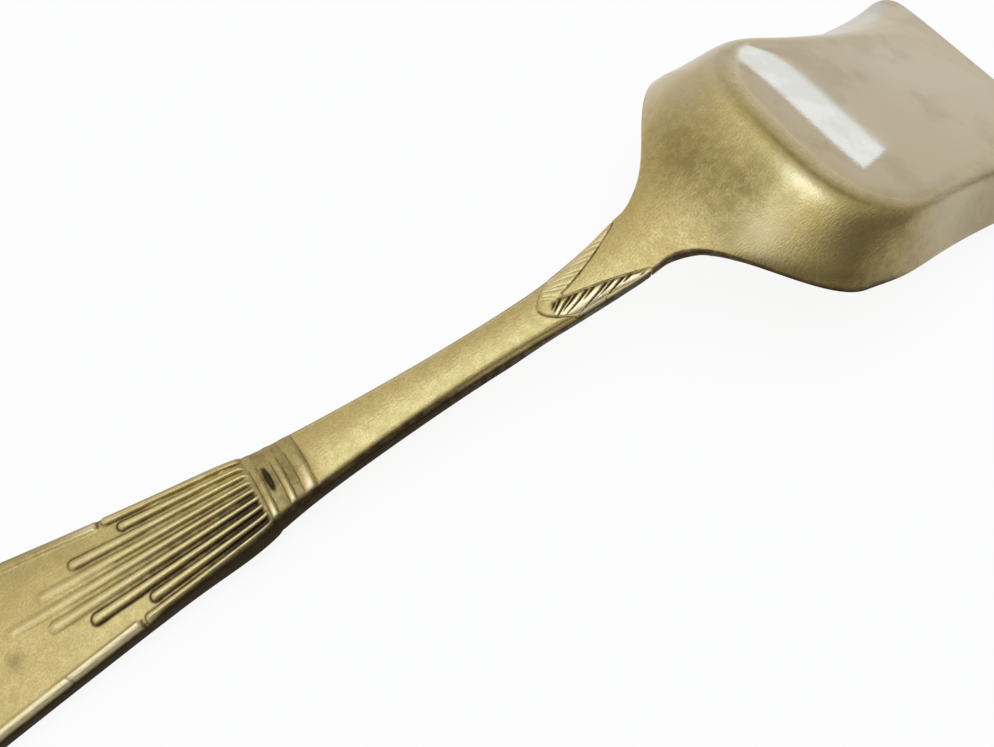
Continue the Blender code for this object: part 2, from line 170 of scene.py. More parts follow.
# The floor: its side, how far it lies below the spoon, and the colour of its faint clouds
FLOOR_SIZE = 3.0
FLOOR_DROP = 0.03 * MM
FLOOR_CLOUD = (0.8, 0.8, 0.8)
# Directions in which the room is bright, and in which it is dimmed
BRIGHT_WAY = (-0.15, 1.0, 0.42)
DIM_WAY = (0.7, 0.05, 0.71)
# The camera: the width of its sensor in millimetres, and the nearest that it sees
SENSOR_WIDTH = 36.0
NEAREST_SEEN = 1.0 * MM


def length(name, description, millimetres):
    """A length in millimetres."""
    return FloatProperty(name=name, description=description, default=millimetres * MM,
                         precision=5, unit='LENGTH', subtype='DISTANCE')


def angle(name, description, degrees):
    """An angle in degrees."""
    return FloatProperty(name=name, description=description, default=math.radians(degrees),
                         unit='ROTATION', subtype='ANGLE')


def share_of(name, description, value):
    """A share from 0 to 1."""
    return FloatProperty(name=name, description=description, default=value,
                         min=0.0, max=1.0, subtype='FACTOR')


def number(name, description, value, low=0.0, unit='NONE'):
    """A plain number, a power in watts or a lens in millimetres."""
    return FloatProperty(name=name, description=description, default=value, min=low, unit=unit)


def colour(name, description, value):
    """A colour of the metal or the floor."""
    return FloatVectorProperty(name=name, description=description, default=value, size=3,
                               min=0.0, max=1.0, subtype='COLOR')


class SpoonSizes(bpy.types.PropertyGroup):
    """Sizes of the spoon. Most are those of the CAD part."""
    handle_reach: length("Handle reach", "From the tongue's point to the handle's end", 82.0)
    bowl_reach: length("Bowl reach", "From the tongue's point to the lip", 62.3)
    tongue_length: length("Tongue length", "From the tongue's point to the leaf's tips", 8.0)
    leaf_heel: length("Leaf heel", "From the tongue's point back to the rounded heel of the leaf", 3.0)
    stem_length: length("Stem length", "From the tongue's point to the cross bands", 29.3)
    bend_length: length("Bend length", "From the handle's end to where it starts to bend", 49.0)
    heel_start: length("Heel start", "From the tongue's point to where the bowl's heel starts to rise", 2.5)
    crease_reach: length("Crease reach", "From the tongue's point to the crease of the bowl", 23.7)
    neck_straight: length("Neck straight", "Length of the neck past the leaf's tips", 1.05)
    neck_length: length("Neck length", "Length of the curve from the neck out to the shoulders", 14.7)
    tip_lead: share_of("Tip lead", "How steeply the sides already open at the leaf's tips", 0.1)
    thinning: length("Thinning", "Length over which the neck thins to the bowl's sheet", 12.0)
    end_arch: length("End arch", "Length of the handle's rounded end", 10.0)
    stem_width: length("Stem width", "Width of the stem where it is narrowest", 4.9)
    neck_width: length("Neck width", "Width of the neck at the leaf's tips", 6.8)
    band_width: length("Band width", "Width of the handle at the cross bands", 7.6)
    fan_width: length("Fan width", "Width of the handle where it is widest", 18.6)
    shoulder_width: length("Shoulder width", "Width of the bowl at its shoulders", 32.6)
    shoulder_full: length("Shoulder fullness", "How far the sides stand out round the shoulders", 0.8)
    shoulder_blunt: length("Shoulder blunting", "How far the corner of the shoulders is drawn in", 0.6)
    lip_flare: number("Lip flare", "Power of the curve out to the lip: a higher one starts later", 2.4, 1.0)
    waist_width: length("Waist width", "Width of the bowl at its waist", 31.9)
    lip_width: length("Lip width", "Width of the bowl at its lip", 37.8)
    tongue_tip: length("Tongue tip", "Width of the tongue's point", 0.3)
    lip_corner: length("Lip corner", "Radius of the lip's corners", 3.4)
    stem_thickness: length("Stem thickness", "Thickness of the stem", 2.45)
    end_thickness: length("End thickness", "Thickness of the handle's end", 2.2)
    sheet: length("Sheet", "Thickness of the bowl's metal", 1.1)
    crown: length("Crown", "Rise of the stem's rounded back", 0.48)
    front_crown: length("Front crown", "Rise of the stem's front", 0.2)
    handle_lift: length("Handle lift", "How far the handle's end bends up", 2.9)
    heel_slope: angle("Heel slope", "Slope of the bowl's heel", 19.36)
    base_slope: angle("Base slope", "Slope of the bowl's flat base", 27.6)
    shoulder_depth: length("Shoulder depth", "From the base down to the rim, below the crease", 7.9)
    lip_depth: length("Lip depth", "From the base down to the rim, at the lip", 0.7)
    rim_sag: length("Rim sag", "Dip of the rim between shoulder and lip", 1.0)
    rim_round: length("Rim round", "Rounding of the rim's line, in side view, where it leaves the heel", 1.4)
    heel_fullness: number("Heel fullness", "Power of the heel's curve: a higher one is flatter", 3.4, 2.0)
    crease_round: length("Crease round", "Rounding of the crease", 1.4)
    ridge_round: length("Ridge round", "Rounding between the base and the side walls", 2.0)
    corner_round: length("Corner round", "Rounding between the heel and the side walls", 1.5)
    heel_round: length("Heel round", "Rounding of the heel's start", 2.2)
    wall_share: share_of("Wall share", "Share of the half width that the wall takes at the shoulders", 0.14)
    wall_lip: share_of("Wall share at the lip", "Share of the half width that the wall takes at the lip", 0.3)
    tongue_spread: share_of("Tongue spread", "Share of the neck that the tongue fills at the tips", 0.9)
    band_count: IntProperty(name="Bands", description="Number of cross bands", default=3, min=1, max=6)
    band_pitch: length("Band pitch", "From one cross band to the next", 1.85)
    band_rise: length("Band rise", "Height of a cross band", 0.3)
    band_sink: length("Band sink", "How far the ground between the bands lies below the stem", 0.1)
    band_bow: length("Band bow", "How far the bands curve back at the edges", 0.25)
    reed_pitch: share_of("Reed pitch", "From one reed to the next, as a share of the half width", 0.229)
    reed_start: share_of("Reed start", "Share of its pitch that a reed fills at the cross bands", 0.54)
    reed_fill: share_of("Reed fill", "Share of its pitch that a reed fills at its end", 0.74)
    reed_rise: length("Reed rise", "Height of a reed above the sunk panel", 0.38)
    reed_lengths: FloatVectorProperty(
        name="Reed lengths", description="Length of the middle reed and of each pair outside it", size=5,
        default=(24.5 * MM, 21.1 * MM, 17.6 * MM, 12.4 * MM, 13.6 * MM), precision=5, unit='LENGTH')
    border_width: length("Border width", "Width of the border round the panel", 1.15)
    border_slope: length("Border slope", "Width of the slope from the panel up to the border", 0.35)
    border_fall: length("Border fall", "How far the border falls towards the edge", 0.16)
    border_gap: length("Border gap", "Between an outer reed's end and the border that follows it", 0.5)
    nick_place: length("Nick place", "Place along the spoon of the small nick in the right border", -56.3)
    nick_depth: length("Nick depth", "Depth of that nick", 0.08)
    panel_sink: length("Panel sink", "How far the panel lies below the border", 0.3)
    leaf_rise: length("Leaf rise", "How far the leaf stands above the stem", 0.16)
    leaf_groove: length("Leaf groove", "Depth of the line round the leaf's heel", 0.07)
    leaf_belly: length("Leaf belly", "How far each half of the leaf swells", 0.06)
    barb_pitch: length("Barb pitch", "From one pair of the leaf's barbs to the next", 1.75)
    barb_depth: length("Barb depth", "Depth of the cuts between the leaf's barbs", 0.2)
    seam_width: length("Seam width", "Width of the soldered seam", 0.2)
    seam_sink: length("Seam sink", "How far the solder lies below the faces beside it", 0.07)
    edge: length("Edge", "How far the handle's rounded edge stands out", 0.3)
    rim: length("Rim", "How far the bowl's rounded rim stands out", 0.22)
    side_draft: length("Side draft", "How much further the handle's sides stand out at the front", 0.32)
    reed_draft: length("Reed draft", "How much that grows beside the reeds' start", 0.4)
    rim_draft: length("Rim draft", "How much further the neck's sides stand out at the front", 0.2)
    bulge: length("Bulge", "How far the base falls away towards the crease", 0.26)
    bulge_reach: length("Bulge reach", "Length over which the base falls away", 6.0)
    rest_pitch: angle("Rest pitch", "Turn that lays the spoon on its lip and its handle", -5.949)
    rest_place: FloatVectorProperty(
        name="Rest place", description="Place of the tongue's point when the spoon lies at rest", size=3,
        default=(9.245 * MM, 0.0, 7.801 * MM), precision=6, subtype='TRANSLATION', unit='LENGTH')

    @property
    def crotch(self):
        return -self.seam_width

    @property
    def shoulder(self):
        return self.tongue_length + self.seam_width

    @property
    def bands_end(self):
        return -self.stem_length - self.band_count * self.band_pitch

    @property
    def neck_start(self):
        return self.shoulder + self.neck_straight

    @property
    def neck_end(self):
        return self.neck_start + self.neck_length

    @property
    def arch_start(self):
        return self.end_arch - self.handle_reach

    @property
    def flat_share(self):
        return 1.0 - self.wall_lip


class SpoonFinish(bpy.types.PropertyGroup):
    """Colours of the spoon's metal."""
    gold: colour("Gold", "Clean gilding", (0.60, 0.475, 0.205))
    deep_gold: colour("Deep gold", "Gilding with a film of dirt", (0.44, 0.34, 0.125))
    rubbed: colour("Rubbed", "Gilding worn thin over the pale metal", (0.53, 0.445, 0.305))
    # Also the colour of the painted highlights on crests, borders, facets and the crease
    worn_and_highlit: colour("Worn", "Gilding kept bright on the high points", (0.82, 0.71, 0.42))
    bare: colour("Bare", "Pale metal where the gilding is gone", (0.60, 0.57, 0.52))
    # Also the colour of the painted shade on the walls, along the right edge and in the right side's hollows
    tarnish_and_shade: colour("Tarnish", "Dark tarnish in the hollows", (0.05, 0.034, 0.017))
    # Also the colour of the painted shade on the bowl and along the panel's left side
    film_and_shade: colour("Film", "Brown film on the gilding", (0.172, 0.118, 0.038))
    solder: colour("Solder", "Dull solder in the seam", (0.44, 0.34, 0.16))


class SpoonStage(bpy.types.PropertyGroup):
    """The floor, the lamps and the camera."""
    floor: colour("Floor", "Colour of the floor", (0.86, 0.86, 0.86))
    floor_white: share_of("Floor white", "Share of plain white that the camera sees on the floor", 0.9)
    overhead: number("Overhead", "Power of the soft box above", 0.8, unit='POWER')
    strip: number("Strip", "Power of the low strip lamp", 0.0217, unit='POWER')
    bright_side: number("Bright side", "Level of the room beyond the spoon", 0.86)
    dark_side: number("Dark side", "Level of the room on the camera's side", 0.26)
    ceiling: number("Ceiling", "Level that the room gains overhead", 0.15)
    handle_end: number("Handle end", "Level that the room gains past the handle's end", 0.2)
    bowl_end: number("Bowl end", "Lowest level of the room past the lip", 0.55)
    lens: number("Lens", "Focal length of the camera", 34.43, 1.0, 'CAMERA')
    camera_place: FloatVectorProperty(
        name="Camera place", description="Place of the camera, close over the handle's side", size=3,
        default=(-22.47 * MM, -38.955 * MM, 87.336 * MM), precision=5, subtype='TRANSLATION', unit='LENGTH')
    camera_turn: FloatVectorProperty(
        name="Camera turn", description="Turn of the camera about X, Y and Z", size=3,
        default=[math.radians(turn) for turn in (27.456, 0.647, -32.671)], subtype='EULER', unit='ROTATION')


def smooth(share):
    """A smooth step from 0 to 1."""
    share = np.clip(share, 0.0, 1.0)
    return share * share * (3.0 - 2.0 * share)


def mix(start, end, share):
    return start + (end - start) * share


def ramp(value, start, end, low=0.0, high=1.0):
    """A smooth change from low at start to high at end. The end may lie before the start."""
    return mix(low, high, smooth((value - start) / (end - start)))


def hump(value, middle, width):
    """A soft hump, 1 in its middle."""
    return np.exp(-((value - middle) / width) ** 2)


def decay(value, width):
    """1 just past 0, dying away over width, and 0 before it."""
    return np.exp(-np.maximum(value, 0.0) / width) * (value > 0.0)


def dome(out):
    """Height of a half-round section, from 1 in its middle to 0 at its edge."""
    return np.sqrt(np.maximum(1.0 - out ** 2, 0.0))


def mark_at(places, strength, *fades):
    """A mark's strength at each point. A fade is the name of a place, its shape and the shape's numbers."""
    for name, shape, *numbers in fades:
        strength = strength * shape(places[name], *numbers)
    return strength


def strongest(places, marks):
    """The strongest of some marks at each point."""
    return np.maximum.reduce([mark_at(places, *mark) for mark in marks])


def soft_min(first, second, width):
    """The lower of two heights, rounded over where they are within width of each other."""
    near = np.maximum(width - np.abs(first - second), 0.0) / width
    return np.minimum(first, second) - near * near * width / 4.0


def half_width(size, x):
    """Half of the outline's width at x."""
    stem_middle = -size.stem_length / 3
    neck = np.clip((x - stem_middle) / (size.shoulder - stem_middle), 0.0, 1.0)
    stem = np.clip((stem_middle - x) / (stem_middle - size.bands_end), 0.0, 1.0)
    narrow = np.where(x > stem_middle, mix(size.stem_width, size.neck_width, neck ** 2),
                      mix(size.stem_width, size.band_width, stem ** STEM_POWER)) / 2
    fan = fan_half(size, x) * np.sqrt(1.0 - into_arch(size, x) ** ARCH_POWER)
    width = np.where(x > size.bands_end, narrow, fan)
    turn = np.clip(x - size.bowl_reach + size.lip_corner, 0.0, size.lip_corner)
    bowl = bowl_side(size, x) - size.lip_corner + np.sqrt(size.lip_corner ** 2 - turn ** 2)
    return np.where(x > size.shoulder, bowl, width)


def into_arch(size, x):
    """0 along the handle, and from 0 to 1 over its rounded end."""
    return np.clip((size.arch_start - x) / size.end_arch, 0.0, 1.0)


def fan_half(size, x):
    """Half width of the fan, as if it had no rounded end."""
    along = np.clip(x, size.arch_start, size.bands_end)
    share = (size.bands_end - along) / (size.bands_end - size.arch_start)
    return mix(size.band_width, size.fan_width, mix(share ** FAN_POWER, np.sqrt(share), FAN_SWELL)) / 2


def bowl_side(size, x):
    """Half width of the bowl, as if the lip's corners were square."""
    in_neck = (x - size.neck_start) / size.neck_length
    side = mix(size.neck_width, size.shoulder_width, smooth(in_neck)) / 2
    past_tips = np.maximum(x - size.shoulder, 0.0)
    side = side + size.tip_lead * past_tips * (1.0 - smooth(past_tips / (0.4 * size.neck_length)))
    fuller = size.shoulder_full * hump(x, size.neck_end + FULL_PLACE, FULL_WIDTH)
    blunter = size.shoulder_blunt * hump(x, size.neck_end, BLUNT_WIDTH)
    side = side + (fuller - blunter) * smooth(2.0 * in_neck)
    half = (size.bowl_reach - size.neck_end) / 2
    side = side + (size.waist_width - size.shoulder_width) / 2 * smooth((x - size.neck_end) / half)
    flare = np.maximum(x - size.neck_end - half, 0.0) / half
    return side + (size.lip_width - size.waist_width) / 2 * flare ** size.lip_flare


def side_share(size, x, y):
    """Share of the way from the middle out to the edge, as if the lip's corners were square."""
    half = np.where(x > size.shoulder, bowl_side(size, x), half_width(size, x))
    return np.minimum(np.abs(y) / half, 1.0)


def heel_line(size, x):
    """Height of the back along the middle of the handle and the heel."""
    bend = np.maximum(-x - size.handle_reach + size.bend_length, 0.0) / size.bend_length
    rise = (x - size.heel_start) * math.tan(size.heel_slope)
    return size.handle_lift * bend ** BEND_POWER - soft_min(0.0, -rise, size.heel_round)


def base_line(size, x):
    """Height of the bowl's flat base."""
    crease = (size.crease_reach - size.heel_start) * math.tan(size.heel_slope)
    return crease - (x - size.crease_reach) * math.tan(size.base_slope)


def rim_line(size, x):
    """Height of the back's edge, at the rim of the bowl."""
    share = (x - size.crease_reach) / (size.bowl_reach - size.crease_reach)
    shoulder = base_line(size, size.crease_reach) - size.shoulder_depth
    lip = base_line(size, size.bowl_reach) - size.lip_depth
    sag = 4.0 * size.rim_sag * np.maximum(share, 0.0) * (1.0 - share)
    return soft_min(heel_line(size, x) - size.crown, mix(shoulder, lip, share) - sag, size.rim_round)


def side_height(size, x, y):
    """Height of the crowned heel and the walls, as if the bowl had no base, with the depth to the rim."""
    share = side_share(size, x, y)
    heel = heel_line(size, x)
    rim = rim_line(size, x)
    full = smooth((x - size.neck_start) / (size.crease_reach - size.neck_start))
    crowned = heel - (heel - rim) * share ** mix(2.0, size.heel_fullness, full)
    along = np.clip((x - size.neck_end) / (size.bowl_reach - size.neck_end), 0.0, 1.0)
    depth = np.minimum(base_line(size, x), heel) - rim
    wall = rim + depth * (1.0 - share) / mix(size.wall_share, size.wall_lip, along)
    corner = size.corner_round * smooth((x - size.neck_start) / size.neck_length)
    return soft_min(crowned, wall, LEAST_ROUND + np.minimum(corner, wall - rim)), depth


def past_crease(size, x, y):
    """How far a point lies past the crease, onto the base. It is negative on the heel and on the walls."""
    above_base = side_height(size, x, y)[0] - base_line(size, x)
    return above_base / (math.tan(size.heel_slope) + math.tan(size.base_slope))


def back_height(size, x, y):
    """Height of the back, without relief: the base, the heel and the walls, rounded into each other."""
    side, depth = side_height(size, x, y)
    past = np.maximum(past_crease(size, x, y), 0.0)
    in_bowl = smooth((x - size.neck_start) / size.neck_length)
    base = base_line(size, x) - size.bulge * np.exp(-past / size.bulge_reach) * in_bowl
    round_over = ramp(side_share(size, x, y), 0.5, 0.8, size.crease_round, size.ridge_round)
    return soft_min(base, side, np.minimum(round_over, depth))


def front_level(size, x, y, half):
    """Height of the front of the handle and the neck, without relief."""
    return heel_line(size, x) - thickness(size, x) + size.front_crown * (y / half) ** 2


def thickness(size, x):
    """Thickness of the metal, along the handle and down to the bowl's sheet."""
    to_sheet = mix(size.stem_thickness, size.sheet, smooth((x - size.heel_start) / size.thinning))
    to_end = mix(size.stem_thickness, size.end_thickness,
                 smooth((size.bands_end - x) / (size.handle_reach + size.bands_end)))
    return np.where(x > size.heel_start, to_sheet, to_end)


def tongue_half(size, x):
    """Half width of the bowl's tongue, from its point to the leaf's tips."""
    share = x / size.shoulder
    return mix(size.tongue_tip / 2, size.tongue_spread * half_width(size, size.shoulder),
               mix(share, share * np.abs(share), TONGUE_CURVE))


def reed_field(size, x, share):
    """Rise of the reeds above the panel, the tarnish round them, made stronger on the right with painted
    shade, and the wear and painted highlight on their crests.
    """
    outer = len(size.reed_lengths) - 1
    rise = np.zeros_like(x)
    tarnish_and_shade = np.zeros_like(x)
    nearest = np.full_like(x, np.inf)
    for index in range(-outer, outer + 1):
        middle = index * size.reed_pitch
        reed_length = size.reed_lengths[abs(index)]
        part = np.clip((size.bands_end - x) / reed_length, 0.0, 1.0)
        along = smooth(part)
        half_share = mix(size.reed_start, size.reed_fill, part) * size.reed_pitch / 2
        half = half_share * fan_half(size, x)
        across = np.abs(share - middle) / half_share
        past_end = np.maximum(size.bands_end - reed_length + half - x, 0.0) / half
        out = np.sqrt(across ** 2 + past_end ** 2)
        rise = np.maximum(rise, size.reed_rise * mix(1.0, REED_END_RISE[index + outer], along) * dome(out))
        spread_out = 1.0 - smooth((out - GROOVE_FULL) / mix(*GROOVE_SPREAD, along))
        ring = ramp(out, GROOVE_START, GROOVE_FULL) * spread_out
        # Tarnish round each reed's start, stronger towards the right with painted shade
        at_start = ramp(middle, 0.72, -0.48, 0.4, 1.0)
        dark = mix(at_start, REED_TARNISH[index + outer], along ** 2)
        tarnish_and_shade = np.maximum(tarnish_and_shade, GROOVE_TARNISH * ring * dark)
        nearest = np.minimum(nearest, out)
    # Tarnish between the reeds near the bands, much stronger on the right with painted shade
    right = ramp(share, 0.6, -0.6)
    near_bands = 1.0 - smooth((size.bands_end - x) / mix(*BANDS_REACH, right))
    between = mix(*BANDS_TARNISH_AND_SHADE, right) * near_bands * ramp(nearest, 0.35, 0.95)
    return rise, np.maximum(tarnish_and_shade, between), ramp(nearest, 0.5, 0.0)


def fan_relief(size, x, y):
    """Relief, tarnish and wear of the reeds, the sunk panel and the border round it, with painted shade on
    the right and along the left border, and painted highlight on the border and the crests.
    """
    rise, tarnish_and_shade, crest = reed_field(size, x, y / half_width(size, x))
    to_edge = np.sqrt((y / fan_half(size, x)) ** 2 + into_arch(size, x) ** ARCH_POWER)
    border_edge = 1.0 - size.border_width / fan_half(size, x)
    border_start = size.bands_end - size.reed_lengths[-1] - size.border_gap
    on_right = y < 0.0
    inside = smooth((to_edge - border_edge) * fan_half(size, x) / size.border_slope)
    started = ramp(x, border_start, border_start - 0.3 * MM)
    border = inside * started
    fall = size.border_fall * np.clip((to_edge - border_edge) / (1.0 - border_edge), 0.0, 1.0)
    nick = hump(x, size.nick_place - 0.5 * (y + 6.0 * MM), NICK_HALF) * inside * on_right
    rise = np.maximum(rise, (size.panel_sink - fall) * border) - size.nick_depth * nick
    corner = 4.0 * inside * (1.0 - inside) * started
    step = smooth(1.0 - np.abs(x - border_start - 0.1 * MM) / (0.35 * MM)) * inside
    # Painted shade along the left border
    left_border_shade = ramp(x, border_start - 3.0 * MM, border_start - 6.0 * MM) * border * (y > 0.0)
    # Tarnish round the reeds, at the border's foot, stronger on the right with painted shade, where the
    # border starts and in the nick
    tarnish_and_shade = np.maximum.reduce([
        tarnish_and_shade, np.where(on_right, *FOOT_TARNISH_AND_SHADE) * corner, LEFT_BORDER_SHADE * left_border_shade,
        STEP_TARNISH * step, NICK_TARNISH * nick])
    # Wear and painted highlight on the reeds' crests, along the right border and where the left border starts
    near_start = hump(x, border_start, 2.2 * MM)
    wear_and_highlight = np.maximum(CREST_WEAR_AND_HIGHLIGHT * crest, BORDER_WEAR_AND_HIGHLIGHT * border * np.where(on_right, 1.0, near_start))
    in_fan = ramp(x, size.bands_end, size.bands_end - 0.35 * MM)
    return (rise - size.panel_sink) * in_fan, tarnish_and_shade * in_fan, wear_and_highlight * in_fan


def band_relief(size, x, y):
    """Relief, tarnish and wear of the cross bands, with a dark lens in the hollow between two of them. The
    wear is a painted glint on their right ends.
    """
    share = y / half_width(size, x)
    bowed = x + size.band_bow * share ** 2
    along = (-size.stem_length - bowed) / (size.band_count * size.band_pitch)
    inside = ramp(along, -0.03, 0.03) * ramp(along, 1.03, 0.97)
    ridge = np.maximum.reduce([dome((along - middle) / half) for middle, half in BAND_RIDGES])
    lens = ((bowed - LENS_ALONG[0]) / LENS_ALONG[1]) ** 2 + ((share - LENS_ACROSS[0]) / LENS_ACROSS[1]) ** 2
    in_lens = ramp(lens, 1.3, 0.4)
    hollow = HOLLOW_TARNISH * inside * ramp(ridge, 0.8, 0.0)
    dull = inside * ramp(share, -0.6, 0.0, *BAND_TARNISH)
    faded = ramp(share, 0.2, 0.9, 1.0, BAND_FADED)
    relief = (size.band_rise * ridge - size.band_sink * inside) * faded - LENS_DEPTH * in_lens
    # Painted glints on the bands' right ends, carried as wear
    wear_and_highlight = inside * ramp(ridge, 0.7, 1.0) * ramp(share, -0.45, -0.85)
    return relief, np.maximum.reduce([hollow, dull, in_lens]), wear_and_highlight


def barb_cuts(size, x, from_tongue, reach):
    """Depth, from 0 to 1, of the cuts between the leaf's barbs, which run in pairs out from the tongue."""
    start = (x + 1.2 * from_tongue + 0.35 * from_tongue ** 2 / MM) / size.barb_pitch
    pair = np.floor(start)
    phase = start - pair + 0.08 * np.sin(2.9 * pair)
    first, second = [np.abs(phase - place) for place in BARB_PLACES]
    stop = np.where(first < second, *BARB_STOPS) + 0.1 * np.sin(4.3 * pair)
    half_cut = BARB_HALF * np.maximum(1.0 - 0.85 * reach / stop, 0.1)
    cut = smooth((half_cut - np.minimum(first, second) * size.barb_pitch) / half_cut)
    return cut * smooth((stop - reach) / 0.3)


def leaf_relief(size, x, y):
    """Relief, tarnish and wear of the leaf that clasps the tongue: a raised heel and pairs of barbs. Painted
    shade makes the tarnish far darker on the right and beside the tongue, and the wear on the facets is also
    painted highlight.
    """
    heel = -size.leaf_heel + 0.95 * size.leaf_heel * (y / (size.stem_width / 2)) ** 2
    inside = ramp(x, heel, heel + 0.28 * MM)
    right = ramp(y, 0.3 * MM, -0.3 * MM)
    from_tongue = np.maximum(np.abs(y) - np.maximum(tongue_half(size, x), 0.0) - size.seam_width, 0.0)
    to_edge = half_width(size, x) - np.abs(y)
    reach = from_tongue / np.maximum(from_tongue + to_edge, 0.05 * MM)
    grown = ramp(x, -2.2 * MM, -1.4 * MM) * ramp(x, 8.2 * MM, 6.8 * MM) * inside
    cut = barb_cuts(size, x, from_tongue, reach)
    # A groove beside the tongue, darkened with the painted shadow of the tongue's edge
    tongue_groove_and_shadow = smooth(1.0 - from_tongue / (0.3 * MM)) * grown
    outline = smooth(1.0 - np.abs(x - heel - 0.02 * MM) / (0.2 * MM))
    rise = size.leaf_rise * ramp(x, 4.0 * MM, 8.0 * MM, 1.0, 0.0) * inside
    belly = size.leaf_belly * np.sin(np.pi * np.clip(reach, 0.0, 1.0)) * grown
    cuts = size.barb_depth * mix(*CUT_SHARES, right) * np.maximum(cut * grown, 0.45 * tongue_groove_and_shadow)
    relief = rise - cuts + belly - size.leaf_groove * outline
    # Tarnish in the cuts and round the heel, far darker on the right with painted shade
    tarnish_and_shade = np.maximum(np.maximum(cut * grown, 0.7 * tongue_groove_and_shadow) * mix(*CUT_TARNISH_AND_SHADE, right),
                         outline * mix(*LEAF_HEEL_TARNISH_AND_SHADE, right))
    # Wear and painted highlight on the facets between the cuts, most on the right
    wear_and_highlight = grown * mix(*LEAF_WEAR_AND_HIGHLIGHT, right) * (1.0 - cut) * ramp(reach, 0.1, 0.4)
    return relief, tarnish_and_shade, wear_and_highlight


def handle_relief(size, x, y):
    """Relief, tarnish and wear of the whole handle, with the painted shade and painted highlights among them.
    """
    fields = (fan_relief, band_relief, leaf_relief)
    reliefs, tarnish_and_shade_fields, wear_and_highlight_fields = zip(*[field(size, x, y) for field in fields])
    return sum(reliefs), np.maximum.reduce(tarnish_and_shade_fields), np.maximum.reduce(wear_and_highlight_fields)


def toward_tips(size, x):
    """1 along the handle, dying away over the leaf towards its tips."""
    return ramp(x, 2.0 * MM, size.tongue_length, 1.0, 0.0)


def handle_inset(size, x):
    """How far the rounded edge stands out beyond the back's last column."""
    return size.edge * toward_tips(size, x)


def wall_draft(size, x):
    """How much further the handle's sides stand out at the front than at the back."""
    along = ramp(x, -9.0 * MM, -2.0 * MM, 1.0, 0.0)
    beside_reeds = hump(x, size.bands_end - 2.5 * MM, 5.0 * MM)
    return size.side_draft * along + size.reed_draft * beside_reeds


def mirrored(shares):
    """Shares from the middle out to one edge, carried over to the other edge."""
    return np.array([-share for share in reversed(shares[1:])] + shares)


def handle_columns(size):
    """Places across the handle, as shares of its half width, even over each reed and closer at the edge."""
    step = size.reed_pitch / 10
    even = [index * step for index in range(int(0.96 / step) + 1)]
    return mirrored(even + [0.972, 0.985, 0.994, 1.0])


def handle_y(size, x, share):
    """Place of a column at x: it slides over to the fork along the stem, and then clears the V."""
    groove = size.reed_pitch / 2
    half = half_width(size, x) - handle_inset(size, x)
    open_half = tongue_half(size, np.maximum(x, size.crotch)) + size.seam_width
    slide = smooth((x + size.stem_length) / (size.stem_length + size.crotch))
    inner = mix(groove, open_half / half, slide)
    part = np.abs(share)
    placed = np.where(part <= groove, part / groove * inner,
                      mix(inner, 1.0, (part - groove) / (1.0 - groove)))
    return np.sign(share) * placed * half


def spread(start, end, step):
    """Evenly spaced places from start up to end, without end."""
    return np.linspace(start, end, max(round((end - start) / step), 1), endpoint=False)


def handle_rows(size):
    """Places along the handle, closest where the relief is finest, the crotch and the tips among them."""
    arch = [size.arch_start - size.end_arch * math.sin(math.radians(turn)) for turn in range(87, 0, -4)]
    leaf_start = -size.leaf_heel - 0.3 * MM
    stretches = (
        (size.arch_start, 0.6 * MM),
        (size.bands_end - size.reed_lengths[0] - 1.0 * MM, 0.15 * MM),
        (size.bands_end - size.reed_lengths[3] + 1.5 * MM, 0.4 * MM),
        (size.bands_end, 0.09 * MM),
        (-size.stem_length, 0.8 * MM),
        (leaf_start, 0.1 * MM),
        (size.crotch, 0.1 * MM))
    ends = [start for start, step in stretches[1:]] + [size.tongue_length]
    rows = [spread(start, end, step) for (start, step), end in zip(stretches, ends)]
    return np.concatenate((arch, *rows, [size.tongue_length]))


def handle_faces(size, x, share):
    """Back and front points of the handle's lattice, with the tarnish and painted shade, and the wear and
    painted highlights, on them.
    """
    y = handle_y(size, x, share)
    half = half_width(size, x) - handle_inset(size, x)
    relief, tarnish_and_shade, wear_and_highlight = handle_relief(size, x, y)
    to_edge = half - np.abs(y)
    radius = ramp(x, size.bands_end, size.bands_end + 3.0 * MM, *EDGE_ROUNDS) * toward_tips(size, x)
    bite = np.maximum(radius - to_edge, 0.0) / np.maximum(radius, 0.01 * MM)
    drop = 0.55 * radius * (1.0 - dome(bite))
    fainter = relief * ramp(np.abs(y) / half, 0.7, 0.95, 1.0, 0.2)
    back = np.stack((x, y, back_height(size, x, y) + relief - drop), axis=-1)
    front = np.stack((x, y, front_level(size, x, y, half) - fainter + drop), axis=-1)
    return back, front, tarnish_and_shade, wear_and_highlight


